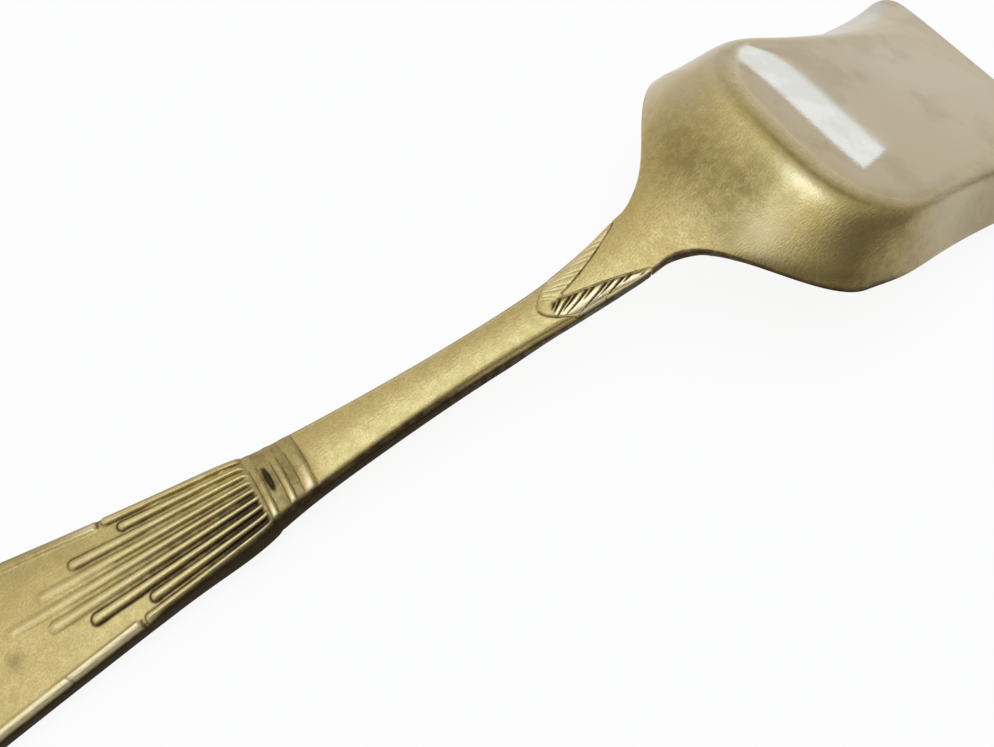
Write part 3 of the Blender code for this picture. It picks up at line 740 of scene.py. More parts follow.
def handle_marks(size, x, share, y, depth, at_side, tarnish_and_shade, wear_and_highlight):
    """What the handle's finish follows, point by point: tarnish, with painted shade on the walls and along
    the right edge, film, with painted shade along the panel's left side, and wear with painted highlights. It
    has no other marks.
    """
    wall = at_side & (depth > BACK_FACE)
    on_back = depth < BACK_FACE
    on_right = share < 0.0
    # Painted shade on the walls, far darker on the right, the camera's side
    back_from_leaf = ramp(x, -2.0 * MM, -20.0 * MM)
    tarnish_and_shade = np.where(wall & on_right, mix(*RIGHT_WALL_SHADE, back_from_leaf), tarnish_and_shade)
    tarnish_and_shade = np.where(wall & (share > 0.0), LEFT_WALL_SHADE, tarnish_and_shade)
    border, reeds, stem = EDGE_SHADE_WIDTHS
    beside_reeds = ramp(x, size.bands_end - 13.5 * MM, size.bands_end - 12.0 * MM, border, reeds)
    wide = mix(beside_reeds, stem, ramp(x, size.bands_end - 1.0 * MM, size.bands_end + 2.0 * MM))
    to_edge = half_width(size, x) - np.abs(y)
    # Painted shade along the right edge of the back
    edge_shade = EDGE_SHADE * back_from_leaf * smooth((wide - to_edge) / (0.6 * wide)) * on_right * on_back
    strength, along, across, radius = PANEL_STAIN
    stain = strength * hump(x, along, radius) * hump(y, across, radius)
    in_panel = ramp(x, size.bands_end - 12.0 * MM, size.bands_end - 17.0 * MM)
    # A stain on the panel, and painted shade along its left side
    film_and_shade = np.maximum(stain, PANEL_LEFT_SHADE * in_panel * ramp(share, 0.4, 0.8)) * on_back
    none = np.zeros_like(x)
    return {"tarnish_and_shade": np.maximum(tarnish_and_shade, edge_shade), "rubbed": none, "film_and_shade": film_and_shade, "polish": none,
            "wear_and_highlight": np.where(wall, 0.0, wear_and_highlight), "bare": none}


def bowl_columns(size):
    """Places across the bowl, as shares of its half width: even over the base, closer on the wall."""
    base = list(np.linspace(0.0, size.flat_share, 35))
    wall = list(np.linspace(size.flat_share, 1.0, 21))
    return mirrored(base + wall[1:])


def bowl_rows(size):
    """Places along the bowl, closest up to the crease and in the lip's corners, the shoulder among them."""
    corner = size.bowl_reach - size.lip_corner
    past_crease_end = size.crease_reach + 6.0 * MM
    turns = [corner + size.lip_corner * math.sin(math.radians(turn)) for turn in range(0, 91, 6)]
    return np.concatenate((
        spread(0.0, size.shoulder, 0.25 * MM),
        spread(size.shoulder, past_crease_end, 0.25 * MM),
        spread(past_crease_end, corner, 0.45 * MM),
        turns))


def clear_of_tips(size, x):
    """0 at the leaf's tips and 1 a little past them."""
    return ramp(x, size.shoulder, size.shoulder + 3.0 * MM)


def rim_inset(size, x):
    """How far the rounded rim stands out beyond the bowl's last column."""
    return size.rim * clear_of_tips(size, x)


def unit(vectors):
    return vectors / np.linalg.norm(vectors, axis=-1, keepdims=True)


def bowl_normal(size, x, y):
    """Directions straight out of the bowl's back."""
    limit = half_width(size, x) - FACE_STEP
    held = np.clip(y, -limit, limit)
    before = np.minimum(x, size.bowl_reach - FACE_STEP)
    along = back_height(size, before + FACE_STEP, held) - back_height(size, before - FACE_STEP, held)
    across = back_height(size, x, held + FACE_STEP) - back_height(size, x, held - FACE_STEP)
    return unit(np.stack((-along, -across, np.full_like(x, 2.0 * FACE_STEP)), axis=-1))


def bowl_faces(size, x, share):
    """Back and front points of the bowl's lattice, with the tarnish along the tongue's edge on them, stronger
    on the right with painted shade.
    """
    in_tongue = x < size.shoulder - NEAR * MM
    part = np.abs(share)
    flat = mix(size.tongue_spread, size.flat_share, smooth((x - size.shoulder) / size.neck_length))
    placed = np.where(part <= size.flat_share, part / size.flat_share * flat,
                      mix(flat, 1.0, (part - size.flat_share) / size.wall_lip))
    y = np.where(in_tongue, share / size.flat_share * tongue_half(size, x),
                 np.sign(share) * placed * (half_width(size, x) - rim_inset(size, x)))
    back = np.stack((x, y, back_height(size, x, y)), axis=-1)
    turned = smooth((x - size.shoulder) / (size.neck_length / 2))[..., None]
    inward = unit(mix(np.array((0.0, 0.0, 1.0)), bowl_normal(size, x, y), turned))
    level = np.stack((x, y, front_level(size, x, y, half_width(size, x))), axis=-1)
    front = mix(level, back - inward * thickness(size, x)[..., None], turned)
    # Tarnish along the tongue's edge, stronger on the right with painted shade
    beside_seam = smooth(1.0 - (tongue_half(size, x) - np.abs(y)) / (0.1 * MM)) * in_tongue
    return back, front, beside_seam * np.where(y < 0.0, 0.6, 0.12)


def bowl_film_and_shade(size, places):
    """Brown film and painted shade on the bowl's back: painted shade in the corners, on the rim, crease,
    ridge and walls, with darker patches on the heel and stains on the base.
    """
    neck_end = size.neck_end / MM
    on_right = ("across", ramp, 0.0, -NEAR)
    film_and_shade = strongest(places, (
        # Painted shade in the corners below the crease, most on the right
        (0.5, ("reach", ramp, 0.5, 0.9), ("along", ramp, neck_end - 6.0, neck_end + 1.0),
         ("along", ramp, 28.0, 37.0, 1.0, 0.0), ("across", ramp, 4.0, -4.0, 0.1, 1.0),
         ("past", ramp, -0.5, 4.5, 1.0, 0.0)),
        # Painted shade along the right rim, from the neck to past the shoulders
        (0.8, ("reach", ramp, 0.78, 0.98), ("along", ramp, 11.0, 17.0),
         ("along", ramp, 24.0, 36.0, 1.0, 0.0), on_right),
        # Painted shade on the right wall
        (0.42, ("along", ramp, 32.0, 45.0), ("past", ramp, -0.2, -2.6), on_right),
        # Painted shade on the base, beside its right ridge
        (0.24, ("past", hump, 2.5, 2.0), ("across", ramp, -8.0, -11.0),
         ("along", ramp, 38.0, 44.0, 1.0, 0.0)),
        # A thin line of painted shade in the crease
        (0.55, ("past", hump, 0.2, 0.35), ("reach", ramp, 0.95, 0.75), ("along", ramp, 18.0, 21.0),
         ("across", ramp, -2.0, 5.0, 1.0, 0.3)),
        # Painted shade on the base, dying away from its edges
        (0.18, ("past", decay, 2.5))))
    # Darker patches on the heel
    heel_dark_patches = sum(mark_at(places, strength, ("along", hump, along, long), ("across", hump, across, wide))
                  for strength, along, across, long, wide in HEEL_DARK_PATCHES)
    film_and_shade = np.maximum(film_and_shade, heel_dark_patches)
    for along, share, radius in BASE_STAINS:
        off_centre = hump(places["across"], share * places["half"], radius)
        film_and_shade = np.maximum(film_and_shade, STAIN_FILM * hump(places["along"], along, radius) * off_centre)
    return film_and_shade


def bowl_marks(size, x, share, y, depth, at_side, tarnish_and_shade):
    """What the bowl's finish follows, point by point. The places of its marks are in millimetres."""
    half = half_width(size, x)
    places = {"along": x / MM, "across": y / MM, "past": past_crease(size, x, y) / MM,
              "reach": np.abs(y) / half, "half": half / MM}
    crease = size.crease_reach / MM
    rubbed = strongest(places, (
        # The base, the side walls and the left shoulder
        (1.0, ("past", ramp, -0.5, 4.5)),
        (0.8, ("along", ramp, crease + 3.0, crease + 16.0)),
        (0.75, ("across", ramp, 3.0, 12.0), ("along", ramp, 15.0, 23.0))))
    polish = mark_at(places, 1.0, ("past", ramp, 1.7, 3.2), ("along", ramp, 29.0, 41.0, 1.0, 0.7),
                     ("along", ramp, 40.0, 50.0, 1.0, 0.0))
    wear_and_highlight = strongest(places, (
        # Painted highlights on the crease and low on the heel, carried as wear
        (0.6, ("past", hump, -1.2, 1.2), ("across", hump, -6.0, 2.6)),
        (0.7, ("along", hump, 17.5, 2.6), ("across", hump, -7.4, 2.5))))
    bare = mark_at(places, 1.0, ("across", ramp, 12.5, 15.0), ("along", ramp, 50.0, 56.0),
                   ("past", ramp, -0.6, -1.6))
    on_back = depth < BACK_FACE
    to_shoulders = ramp(x, *SHOULDER_FADE, 1.0, 0.0)
    # Painted shade on the right wall and along the right rim
    on_wall = (depth > BACK_FACE) & at_side & (share < 0.0)
    tarnish_and_shade = np.where(on_wall, mix(*BOWL_RIGHT_WALL_SHADE, to_shoulders), tarnish_and_shade)
    to_edge = half - rim_inset(size, x) - np.abs(y)
    rim_shade_mask = ramp(to_edge, 0.35 * MM, 0.05 * MM) * to_shoulders * (y < 0.0) * on_back
    tarnish_and_shade = np.maximum(tarnish_and_shade, RIGHT_RIM_SHADE * rim_shade_mask) * (depth < FRONT_FACE)
    film_and_shade = bowl_film_and_shade(size, places)
    marks = {"rubbed": rubbed, "film_and_shade": film_and_shade, "polish": polish, "wear_and_highlight": wear_and_highlight, "bare": bare}
    return {"tarnish_and_shade": tarnish_and_shade} | {name: values * on_back for name, values in marks.items()}


def outward(size, x, side, at_side, end_way):
    """Directions out of a piece's edge, in plan: out of its sides, and along the spoon at its end."""
    lean = (half_width(size, x + EDGE_STEP) - half_width(size, x - EDGE_STEP)) / (2 * EDGE_STEP)
    out = np.stack((-lean, np.sign(side), np.zeros_like(x)), axis=-1)
    out[~at_side] = (end_way, 0.0, 0.0)
    return unit(out)


def inner_columns(columns, limit):
    """First and last of the columns that lie within limit of the middle."""
    return np.flatnonzero(np.abs(columns) < limit + NEAR)[[0, -1]]


def to_rest(size, points):
    """Lay points of the spoon's own frame down as the CAD part lies."""
    turn = np.array(Euler((0.0, size.rest_pitch, 0.0)).to_matrix())
    return points @ turn.T + np.array(size.rest_place)


def edit(select='FACE'):
    """Go into edit mode, to select faces or edges."""
    bpy.ops.object.mode_set(mode='EDIT')
    bpy.ops.mesh.select_mode(type=select)


def add_blank(name, rows, columns, cut_out, wall_cuts):
    """A flat blank: a grid with some faces cut out, extruded to a slab with rows of points on its edge.

    Returns the piece with its points' row, column and depth, from 0 on the back to 1 on the front.
    """
    bpy.ops.object.select_all(action='DESELECT')
    bpy.ops.mesh.primitive_grid_add(x_subdivisions=rows - 1, y_subdivisions=columns - 1, size=1.0)
    piece = bpy.context.object
    piece.name = name
    piece.data.name = name
    centres = np.zeros(len(piece.data.polygons) * 3)
    piece.data.polygons.foreach_get("center", centres)
    centres = centres.reshape(-1, 3)
    doomed = cut_out((centres[:, 0] + 0.5) * (rows - 1), (centres[:, 1] + 0.5) * (columns - 1))
    edit()
    bpy.ops.mesh.select_all(action='DESELECT')
    bpy.ops.object.mode_set(mode='OBJECT')
    piece.data.polygons.foreach_set("select", doomed)
    edit()
    bpy.ops.mesh.delete(type='FACE')
    bpy.ops.mesh.select_all(action='SELECT')
    bpy.ops.mesh.extrude_region_move(TRANSFORM_OT_translate={"value": (0.0, 0.0, -1.0)})
    bpy.ops.mesh.select_mode(type='EDGE')
    bpy.ops.mesh.select_all(action='DESELECT')
    bpy.ops.object.mode_set(mode='OBJECT')
    places = np.array([vert.co[2] for vert in piece.data.vertices])
    ends = np.array([list(edge.vertices) for edge in piece.data.edges])
    upright = places[ends[:, 0]] != places[ends[:, 1]]
    piece.data.edges.foreach_set("select", upright)
    edit('EDGE')
    bpy.ops.mesh.subdivide(number_cuts=wall_cuts)
    bpy.ops.mesh.select_all(action='SELECT')
    bpy.ops.mesh.normals_make_consistent(inside=False)
    bpy.ops.object.mode_set(mode='OBJECT')
    flat = np.zeros(len(piece.data.vertices) * 3)
    piece.data.vertices.foreach_get("co", flat)
    flat = flat.reshape(-1, 3)
    row = np.rint((flat[:, 0] + 0.5) * (rows - 1)).astype(int)
    column = np.rint((flat[:, 1] + 0.5) * (columns - 1)).astype(int)
    return piece, row, column, -flat[:, 2]


def edge_bulge(depth):
    """Share of the edge's full stand-out, from the back at depth 0 to the front at depth 1."""
    return np.cbrt(np.maximum(1.0 - np.abs(2.0 * depth - 1.0) ** 3, 0.0))


def shape_piece(size, piece, points, attributes, node):
    """Move a blank's points to their places, hang the finished piece on the root body and hide the CAD part
    that it replaces.
    """
    piece.data.vertices.foreach_set("co", to_rest(size, points).astype(np.float32).ravel())
    for name, values in attributes.items():
        layer = piece.data.attributes.new(name, 'FLOAT', 'POINT')
        layer.data.foreach_set("value", values.astype(np.float32))
    piece.data.update()
    bpy.ops.object.select_all(action='DESELECT')
    piece.select_set(True)
    bpy.context.view_layer.objects.active = piece
    edit()
    bpy.ops.mesh.select_all(action='SELECT')
    bpy.ops.mesh.normals_make_consistent(inside=False)
    bpy.ops.object.mode_set(mode='OBJECT')
    bpy.ops.object.shade_smooth_by_angle(angle=SHARP_ANGLE)
    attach(piece, "root")
    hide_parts(node)


def add_node(tree, kind, place=(0, 0), **settings):
    """A new shader node with its settings."""
    node = tree.nodes.new(kind)
    node.location = place
    for name, value in settings.items():
        setattr(node, name, value)
    return node


def new_group(name, inputs, outputs):
    """A shader node group with its own sockets. Inputs are (name, kind, default)."""
    tree = bpy.data.node_groups.new(name, 'ShaderNodeTree')
    for label, kind, default in inputs:
        socket = tree.interface.new_socket(label, in_out='INPUT', socket_type=kind)
        if default is not None:
            socket.default_value = default
    for label, kind in outputs:
        tree.interface.new_socket(label, in_out='OUTPUT', socket_type=kind)
    return tree, add_node(tree, 'NodeGroupInput', (-900, 0)), add_node(tree, 'NodeGroupOutput', (600, 0))


def add_noise(tree, vector, scale, detail, roughness=0.55):
    """Soft noise over a vector, from 0 to 1."""
    noise = add_node(tree, 'ShaderNodeTexNoise')
    noise.inputs["Scale"].default_value = scale
    noise.inputs["Detail"].default_value = detail
    noise.inputs["Roughness"].default_value = roughness
    tree.links.new(vector, noise.inputs["Vector"])
    return noise.outputs["Fac"]


def add_range(tree, value, low, high, to_low=0.0, to_high=1.0, curve='SMOOTHSTEP'):
    """A change from to_low, where the value is low, to to_high, where it is high."""
    node = add_node(tree, 'ShaderNodeMapRange', interpolation_type=curve)
    tree.links.new(value, node.inputs["Value"])
    for label, limit in (("From Min", low), ("From Max", high), ("To Min", to_low), ("To Max", to_high)):
        node.inputs[label].default_value = limit
    return node.outputs["Result"]


def add_math(tree, operation, first, second):
    """A sum, product or the like of two values, each a socket or a plain number."""
    node = add_node(tree, 'ShaderNodeMath', operation=operation)
    for socket, value in zip(node.inputs, (first, second)):
        if isinstance(value, (int, float)):
            socket.default_value = value
        else:
            tree.links.new(value, socket)
    return node.outputs[0]


def add_mix(tree, share, first, second):
    """Mix of two colours, each a socket or a plain colour."""
    node = add_node(tree, 'ShaderNodeMix', data_type='RGBA')
    tree.links.new(share, node.inputs[0])
    for socket, value in ((node.inputs[6], first), (node.inputs[7], second)):
        if isinstance(value, bpy.types.NodeSocket):
            tree.links.new(value, socket)
        else:
            socket.default_value = (*value, 1.0)
    return node.outputs[2]


def stretched(tree, vector, scale, turn):
    """Coordinates turned about Z and stretched, for marks that run one way."""
    mapping = add_node(tree, 'ShaderNodeMapping')
    mapping.inputs["Scale"].default_value = scale
    mapping.inputs["Rotation"].default_value = (0.0, 0.0, math.radians(turn))
    tree.links.new(vector, mapping.inputs["Vector"])
    return mapping.outputs["Vector"]


def add_dot(tree, vector, way):
    """How far a direction points one way."""
    node = add_node(tree, 'ShaderNodeVectorMath', operation='DOT_PRODUCT')
    node.inputs[1].default_value = way
    tree.links.new(vector, node.inputs[0])
    return node.outputs["Value"]


def split(tree, vector):
    """The X, Y and Z of a vector."""
    node = add_node(tree, 'ShaderNodeSeparateXYZ')
    tree.links.new(vector, node.inputs["Vector"])
    return node.outputs[:3]


def read_mask(tree, name):
    """One of the piece's own attributes, from 0 to 1."""
    return add_node(tree, 'ShaderNodeAttribute', attribute_name=name).outputs["Fac"]


def add_bump(tree, shader, height, strength, distance):
    bump = add_node(tree, 'ShaderNodeBump')
    bump.inputs["Strength"].default_value = strength
    bump.inputs["Distance"].default_value = distance
    tree.links.new(height, bump.inputs["Height"])
    tree.links.new(bump.outputs["Normal"], shader.inputs["Normal"])


def new_material(name, **values):
    """A material with its tree, its shader and the Object coordinates that its patterns follow."""
    material = bpy.data.materials.new(name)
    material.use_nodes = True
    tree = material.node_tree
    shader = tree.nodes["Principled BSDF"]
    for label, value in values.items():
        shader.inputs[label].default_value = value
    return material, tree, shader, add_node(tree, 'ShaderNodeTexCoord').outputs["Object"]


def make_rub_marks():
    """Group: fine marks of rubbing that run in three directions, from 0 to 1."""
    tree, source, sink = new_group("rub_marks", [("Vector", 'NodeSocketVector', None)],
                                   [("Marks", 'NodeSocketFloat')])
    total = 0.0
    for turn in RUB_TURNS:
        drawn_out = stretched(tree, source.outputs["Vector"], RUB_STRETCH, turn)
        marks = add_noise(tree, drawn_out, RUB_SCALE, 2.0)
        total = add_math(tree, 'ADD', total, add_range(tree, marks, 0.35, 0.7, 0.0, 0.34))
    tree.links.new(total, sink.inputs["Marks"])
    return tree


def make_struck_grain():
    """Group: the fine grain of struck and gilded metal, from 0 to 1."""
    tree, source, sink = new_group("struck_grain", [("Vector", 'NodeSocketVector', None)],
                                   [("Grain", 'NodeSocketFloat')])
    fine = add_noise(tree, source.outputs["Vector"], FINE_GRAIN, 2.0)
    coarse = add_noise(tree, source.outputs["Vector"], COARSE_GRAIN, 3.0)
    fine_part = add_math(tree, 'MULTIPLY', fine, 0.7)
    total = add_math(tree, 'ADD', fine_part, add_math(tree, 'MULTIPLY', coarse, 0.3))
    tree.links.new(total, sink.inputs["Grain"])
    return tree


def make_patches():
    """Group: soft, uneven patches at a scale of its own, from 0 to 1."""
    tree, source, sink = new_group("patches", [("Vector", 'NodeSocketVector', None),
                                               ("Scale", 'NodeSocketFloat', 100.0)],
                                   [("Patches", 'NodeSocketFloat')])
    noise = add_node(tree, 'ShaderNodeTexNoise')
    noise.inputs["Detail"].default_value = 5.0
    noise.inputs["Roughness"].default_value = 0.6
    tree.links.new(source.outputs["Vector"], noise.inputs["Vector"])
    tree.links.new(source.outputs["Scale"], noise.inputs["Scale"])
    tree.links.new(add_range(tree, noise.outputs["Fac"], 0.36, 0.66), sink.inputs["Patches"])
    return tree


def place_group(tree, group, vector, **values):
    """One of the shared groups, placed in a material with its own values."""
    node = add_node(tree, 'ShaderNodeGroup', node_tree=group)
    tree.links.new(vector, node.inputs["Vector"])
    for label, value in values.items():
        node.inputs[label].default_value = value
    return node.outputs[0]


def make_gilt(name, finish, groups, rough, rubbed_rough, rubbed_dim):
    """Gilt metal: patches of clean and dull gold, rubbed places, tarnish in the hollows, painted shade and
    painted highlights, grain and marks.

    The rubbed places have a roughness of their own, and keep rubbed_dim of their colour in broad patches.
    """
    material, tree, shader, place = new_material(name, Metallic=1.0)
    masks = {mask: read_mask(tree, mask) for mask in MASKS}
    masks["marks"] = place_group(tree, groups["rub_marks"], place)
    masks["grain"] = place_group(tree, groups["struck_grain"], place)
    masks["broad"] = place_group(tree, groups["patches"], place, Scale=BROAD_PATCHES)
    masks["small"] = place_group(tree, groups["patches"], place, Scale=SMALL_PATCHES)
    loose = add_range(tree, masks["small"], 0.0, 1.0, 0.92, 1.08)
    masks["dark"] = add_range(tree, add_math(tree, 'MULTIPLY', masks["tarnish_and_shade"], loose), 0.06, 0.95)
    tree.links.new(gilt_colour(tree, finish, masks, rubbed_dim), shader.inputs["Base Color"])
    tree.links.new(gilt_roughness(tree, masks, rough, rubbed_rough), shader.inputs["Roughness"])
    sleek = add_math(tree, 'MAXIMUM', masks["rubbed"], add_range(tree, masks["polish"], 0.0, 0.3))
    height = add_math(tree, 'ADD', masks["grain"], add_math(tree, 'MULTIPLY', masks["marks"], 0.35))
    height = add_math(tree, 'MULTIPLY', height, add_range(tree, sleek, 0.0, 0.9, 1.0, 0.03, 'LINEAR'))
    add_bump(tree, shader, height, 0.7, 0.045 * MM)
    return material


def gilt_colour(tree, finish, masks, rubbed_dim):
    """Colour of the gilding, from the clean gold and its painted highlights up to the film and the tarnish
    that lie on it, with the painted shade that they carry.
    """
    broad, small, rubbed = masks["broad"], masks["small"], masks["rubbed"]
    dull = add_math(tree, 'MULTIPLY', add_math(tree, 'ADD', broad, small), 0.42)
    gold = add_mix(tree, dull, finish.gold, finish.deep_gold)
    gold = add_mix(tree, add_math(tree, 'MULTIPLY', masks["marks"], 0.1), gold, finish.gold)
    gold = add_mix(tree, add_range(tree, masks["grain"], 0.4, 0.58, 0.7, 0.0), gold, finish.deep_gold)
    gold = add_mix(tree, masks["wear_and_highlight"], gold, finish.worn_and_highlit)
    uneven = add_math(tree, 'MULTIPLY', rubbed, add_range(tree, broad, 0.0, 1.0, 1.0, rubbed_dim))
    gold = add_mix(tree, uneven, gold, finish.rubbed)
    gold = add_mix(tree, masks["bare"], gold, finish.bare)
    mottled = add_math(tree, 'MULTIPLY', rubbed, add_range(tree, broad, 0.45, 1.0, 0.0, 0.16))
    film_and_shade = add_math(tree, 'MULTIPLY', masks["film_and_shade"], add_range(tree, small, 0.0, 1.0, 0.9, 1.1))
    gold = add_mix(tree, add_math(tree, 'ADD', mottled, film_and_shade), gold, finish.film_and_shade)
    return add_mix(tree, masks["dark"], gold, finish.tarnish_and_shade)


def gilt_roughness(tree, masks, rough, rubbed_rough):
    """Roughness of the gilding: more in tarnish and dull patches, much less where it is polished."""
    level = add_range(tree, masks["rubbed"], 0.0, 1.0, rough, rubbed_rough, 'LINEAR')
    level = add_math(tree, 'ADD', level, add_math(tree, 'MULTIPLY', masks["dark"], 0.2))
    unrubbed = add_range(tree, masks["rubbed"], 0.0, 0.9, 0.06, 0.0, 'LINEAR')
    level = add_math(tree, 'ADD', level, add_math(tree, 'MULTIPLY', masks["small"], unrubbed))
    sleek = add_range(tree, masks["polish"], 0.0, 1.0, 1.0, 0.08, 'LINEAR')
    return add_math(tree, 'MULTIPLY', level, sleek)


def make_solder(finish, groups):
    """Dull, lumpy solder."""
    material, tree, shader, place = new_material("silver_solder", Metallic=1.0, Roughness=0.5)
    patches = place_group(tree, groups["patches"], place, Scale=SOLDER_PATCHES)
    tree.links.new(add_mix(tree, patches, finish.solder, finish.film_and_shade), shader.inputs["Base Color"])
    add_bump(tree, shader, place_group(tree, groups["struck_grain"], place), 0.5, 0.05 * MM)
    return material


def shared_groups():
    """The shader groups that the spoon's materials share, made once."""
    makers = {"rub_marks": make_rub_marks, "struck_grain": make_struck_grain, "patches": make_patches}
    return {name: bpy.data.node_groups.get(name) or maker() for name, maker in makers.items()}


class SPOON_OT_handle(bpy.types.Operator):
    """Model the reeded handle with its cross bands and forked leaf"""
    bl_idname = "spoon.handle"
    bl_label = "Handle"

    def execute(self, context):
        size = context.scene.spoon_sizes
        rows = handle_rows(size)
        columns = handle_columns(size)
        crotch = int(np.argmin(np.abs(rows - size.crotch)))
        first, last = inner_columns(columns, size.reed_pitch / 2)

        def in_fork(row, column):
            return (row > crotch) & (column > first) & (column < last)

        piece, row, column, depth = add_blank(
            "handle_struck", len(rows), len(columns), in_fork, HANDLE_WALL_CUTS)
        x = rows[row]
        share = columns[column]
        at_side = (column == 0) | (column == len(columns) - 1)
        at_edge = at_side | (row == 0)
        back, front, tarnish_and_shade, wear_and_highlight = handle_faces(size, x, share)
        bulge = handle_inset(size, x) * edge_bulge(depth) * at_edge
        stand_out = bulge + wall_draft(size, x) * depth * at_side
        out = outward(size, x, share, at_side, -1.0)
        points = mix(back, front, depth[:, None]) + out * stand_out[:, None]
        marks = handle_marks(size, x, share, back[:, 1], depth, at_side, tarnish_and_shade, wear_and_highlight)
        shape_piece(size, piece, points, marks, "handle")
        gilt = make_gilt("gilt_handle", context.scene.spoon_finish, shared_groups(),
                         rough=0.33, rubbed_rough=0.2, rubbed_dim=0.5)
        piece.data.materials.append(gilt)
        return {'FINISHED'}


class SPOON_OT_bowl(bpy.types.Operator):
    """Model the shovel bowl with its tongue"""
    bl_idname = "spoon.bowl"
    bl_label = "Bowl"

    def execute(self, context):
        size = context.scene.spoon_sizes
        rows = bowl_rows(size)
        columns = bowl_columns(size)
        shoulder = int(np.argmin(np.abs(rows - size.shoulder)))
        first, last = inner_columns(columns, size.flat_share)

        def beside_tongue(row, column):
            return (row < shoulder) & ((column < first) | (column > last))

        piece, row, column, depth = add_blank(
            "bowl_pressed", len(rows), len(columns), beside_tongue, BOWL_WALL_CUTS)
        x = rows[row]
        share = columns[column]
        at_side = ((column == 0) | (column == len(columns) - 1)) & (row >= shoulder)
        at_edge = at_side | (row == len(rows) - 1)
        back, front, tarnish_and_shade = bowl_faces(size, x, share)
        draft = size.rim_draft * clear_of_tips(size, x) * ramp(x, *SHOULDER_FADE, 1.0, 0.0)
        stand_out = rim_inset(size, x) * edge_bulge(depth) * at_edge + draft * depth * at_side
        inside = np.clip(x, size.shoulder + EDGE_STEP, size.bowl_reach - EDGE_STEP)
        out = outward(size, inside, share, at_side, 1.0)
        points = mix(back, front, depth[:, None]) + out * stand_out[:, None]
        marks = bowl_marks(size, x, share, back[:, 1], depth, at_side, tarnish_and_shade)
        shape_piece(size, piece, points, marks, "bowl")
        gilt = make_gilt("gilt_bowl", context.scene.spoon_finish, shared_groups(),
                         rough=0.3, rubbed_rough=0.2, rubbed_dim=0.95)
        piece.data.materials.append(gilt)
        return {'FINISHED'}


class SPOON_OT_seam(bpy.types.Operator):
    """Model the solder between the leaf's fork and the bowl's tongue"""
    bl_idname = "spoon.seam"
    bl_label = "Solder seam"

    def execute(self, context):
        size = context.scene.spoon_sizes
        fork, tongue = seam_sides(size)

        def nowhere(row, column):
            return np.zeros(len(row), dtype=bool)

        piece, row, column, depth = add_blank("solder_line", len(fork), 3, nowhere, SEAM_WALL_CUTS)
        plan = mix(fork[row], tongue[row], (column / 2)[:, None])
        x, y = plan[:, 0], plan[:, 1]
        hollow = size.seam_sink * np.where(column == 1, 0.7, 0.4)
        top = back_height(size, x, y) - hollow
        bottom = heel_line(size, x) - thickness(size, x) + size.front_crown + size.seam_sink
        points = np.stack((x, y, mix(top, bottom, depth)), axis=-1)
        shape_piece(size, piece, points, {}, "solder_seam")
        piece.data.materials.append(make_solder(context.scene.spoon_finish, shared_groups()))
        return {'FINISHED'}


def seam_sides(size):
    """Plan points of the seam's two sides, on the fork and on the tongue, from one tip to the other."""
    end = half_width(size, size.shoulder) - size.seam_sink
    places = spread(size.tongue_length, 0.0, -SEAM_STEP)
    half_fork = [(size.tongue_length, end)]
    half_tongue = [(size.shoulder, end)]
    for x in places:
        half_fork.append((x, tongue_half(size, x) + size.seam_width))
        half_tongue.append((x, tongue_half(size, x)))
    half_tongue[1] = (size.shoulder, tongue_half(size, size.shoulder))
    half_fork.append((size.crotch, tongue_half(size, size.crotch) + size.seam_width))
    half_tongue.append((0.0, tongue_half(size, 0.0)))
    sides = []
    for half in (half_fork, half_tongue):
        half = np.array(half, dtype=float)
        sides.append(np.concatenate((half, half[::-1] * (1.0, -1.0))))
    return sides


class SPOON_OT_stage(bpy.types.Operator):
    """Lay the pale floor, and set the lamps, the room and the camera"""
    bl_idname = "spoon.stage"
    bl_label = "Stage"

    def execute(self, context):
        stage = context.scene.spoon_stage
        context.scene.view_settings.view_transform = 'Standard'
        make_floor(stage)
        make_room(context, stage)
        make_lamps(stage)
        make_camera(context, stage)
        return {'FINISHED'}


def make_floor(stage):
    """A wide pale floor, near white to the camera, that keeps the spoon's shadow."""
    bpy.ops.object.select_all(action='DESELECT')
    bpy.ops.mesh.primitive_plane_add(size=FLOOR_SIZE, location=(0.0, 0.0, -FLOOR_DROP))
    floor = bpy.context.object
    floor.name = "floor"
    bpy.ops.object.transform_apply(location=True, rotation=True, scale=True)
    material, tree, shader, place = new_material("pale_floor", Roughness=0.9)
    cloud = add_range(tree, add_noise(tree, place, 6.0, 2.0), 0.3, 0.7, 0.0, 0.04)
    tree.links.new(add_mix(tree, cloud, tuple(stage.floor), FLOOR_CLOUD), shader.inputs["Base Color"])
    path = add_node(tree, 'ShaderNodeLightPath')
    to_camera = add_math(tree, 'MULTIPLY', path.outputs["Is Camera Ray"], stage.floor_white)
    # In reflections the floor glows less on the camera's side than beyond the spoon: painted shade on the
    # spoon's right walls
    beyond = add_range(tree, split(tree, place)[1], -0.03, 0.03, 0.2, 0.9)
    in_metal = add_math(tree, 'MULTIPLY', path.outputs["Is Glossy Ray"], beyond)
    seen = add_math(tree, 'MAXIMUM', to_camera, in_metal)
    seen = add_math(tree, 'MAXIMUM', seen, path.outputs["Is Transmission Ray"])
    glow = add_node(tree, 'ShaderNodeEmission')
    blend = add_node(tree, 'ShaderNodeMixShader')
    tree.links.new(seen, blend.inputs["Fac"])
    tree.links.new(shader.outputs["BSDF"], blend.inputs[1])
    tree.links.new(glow.outputs["Emission"], blend.inputs[2])
    tree.links.new(blend.outputs["Shader"], tree.nodes["Material Output"].inputs["Surface"])
    floor.data.materials.append(material)


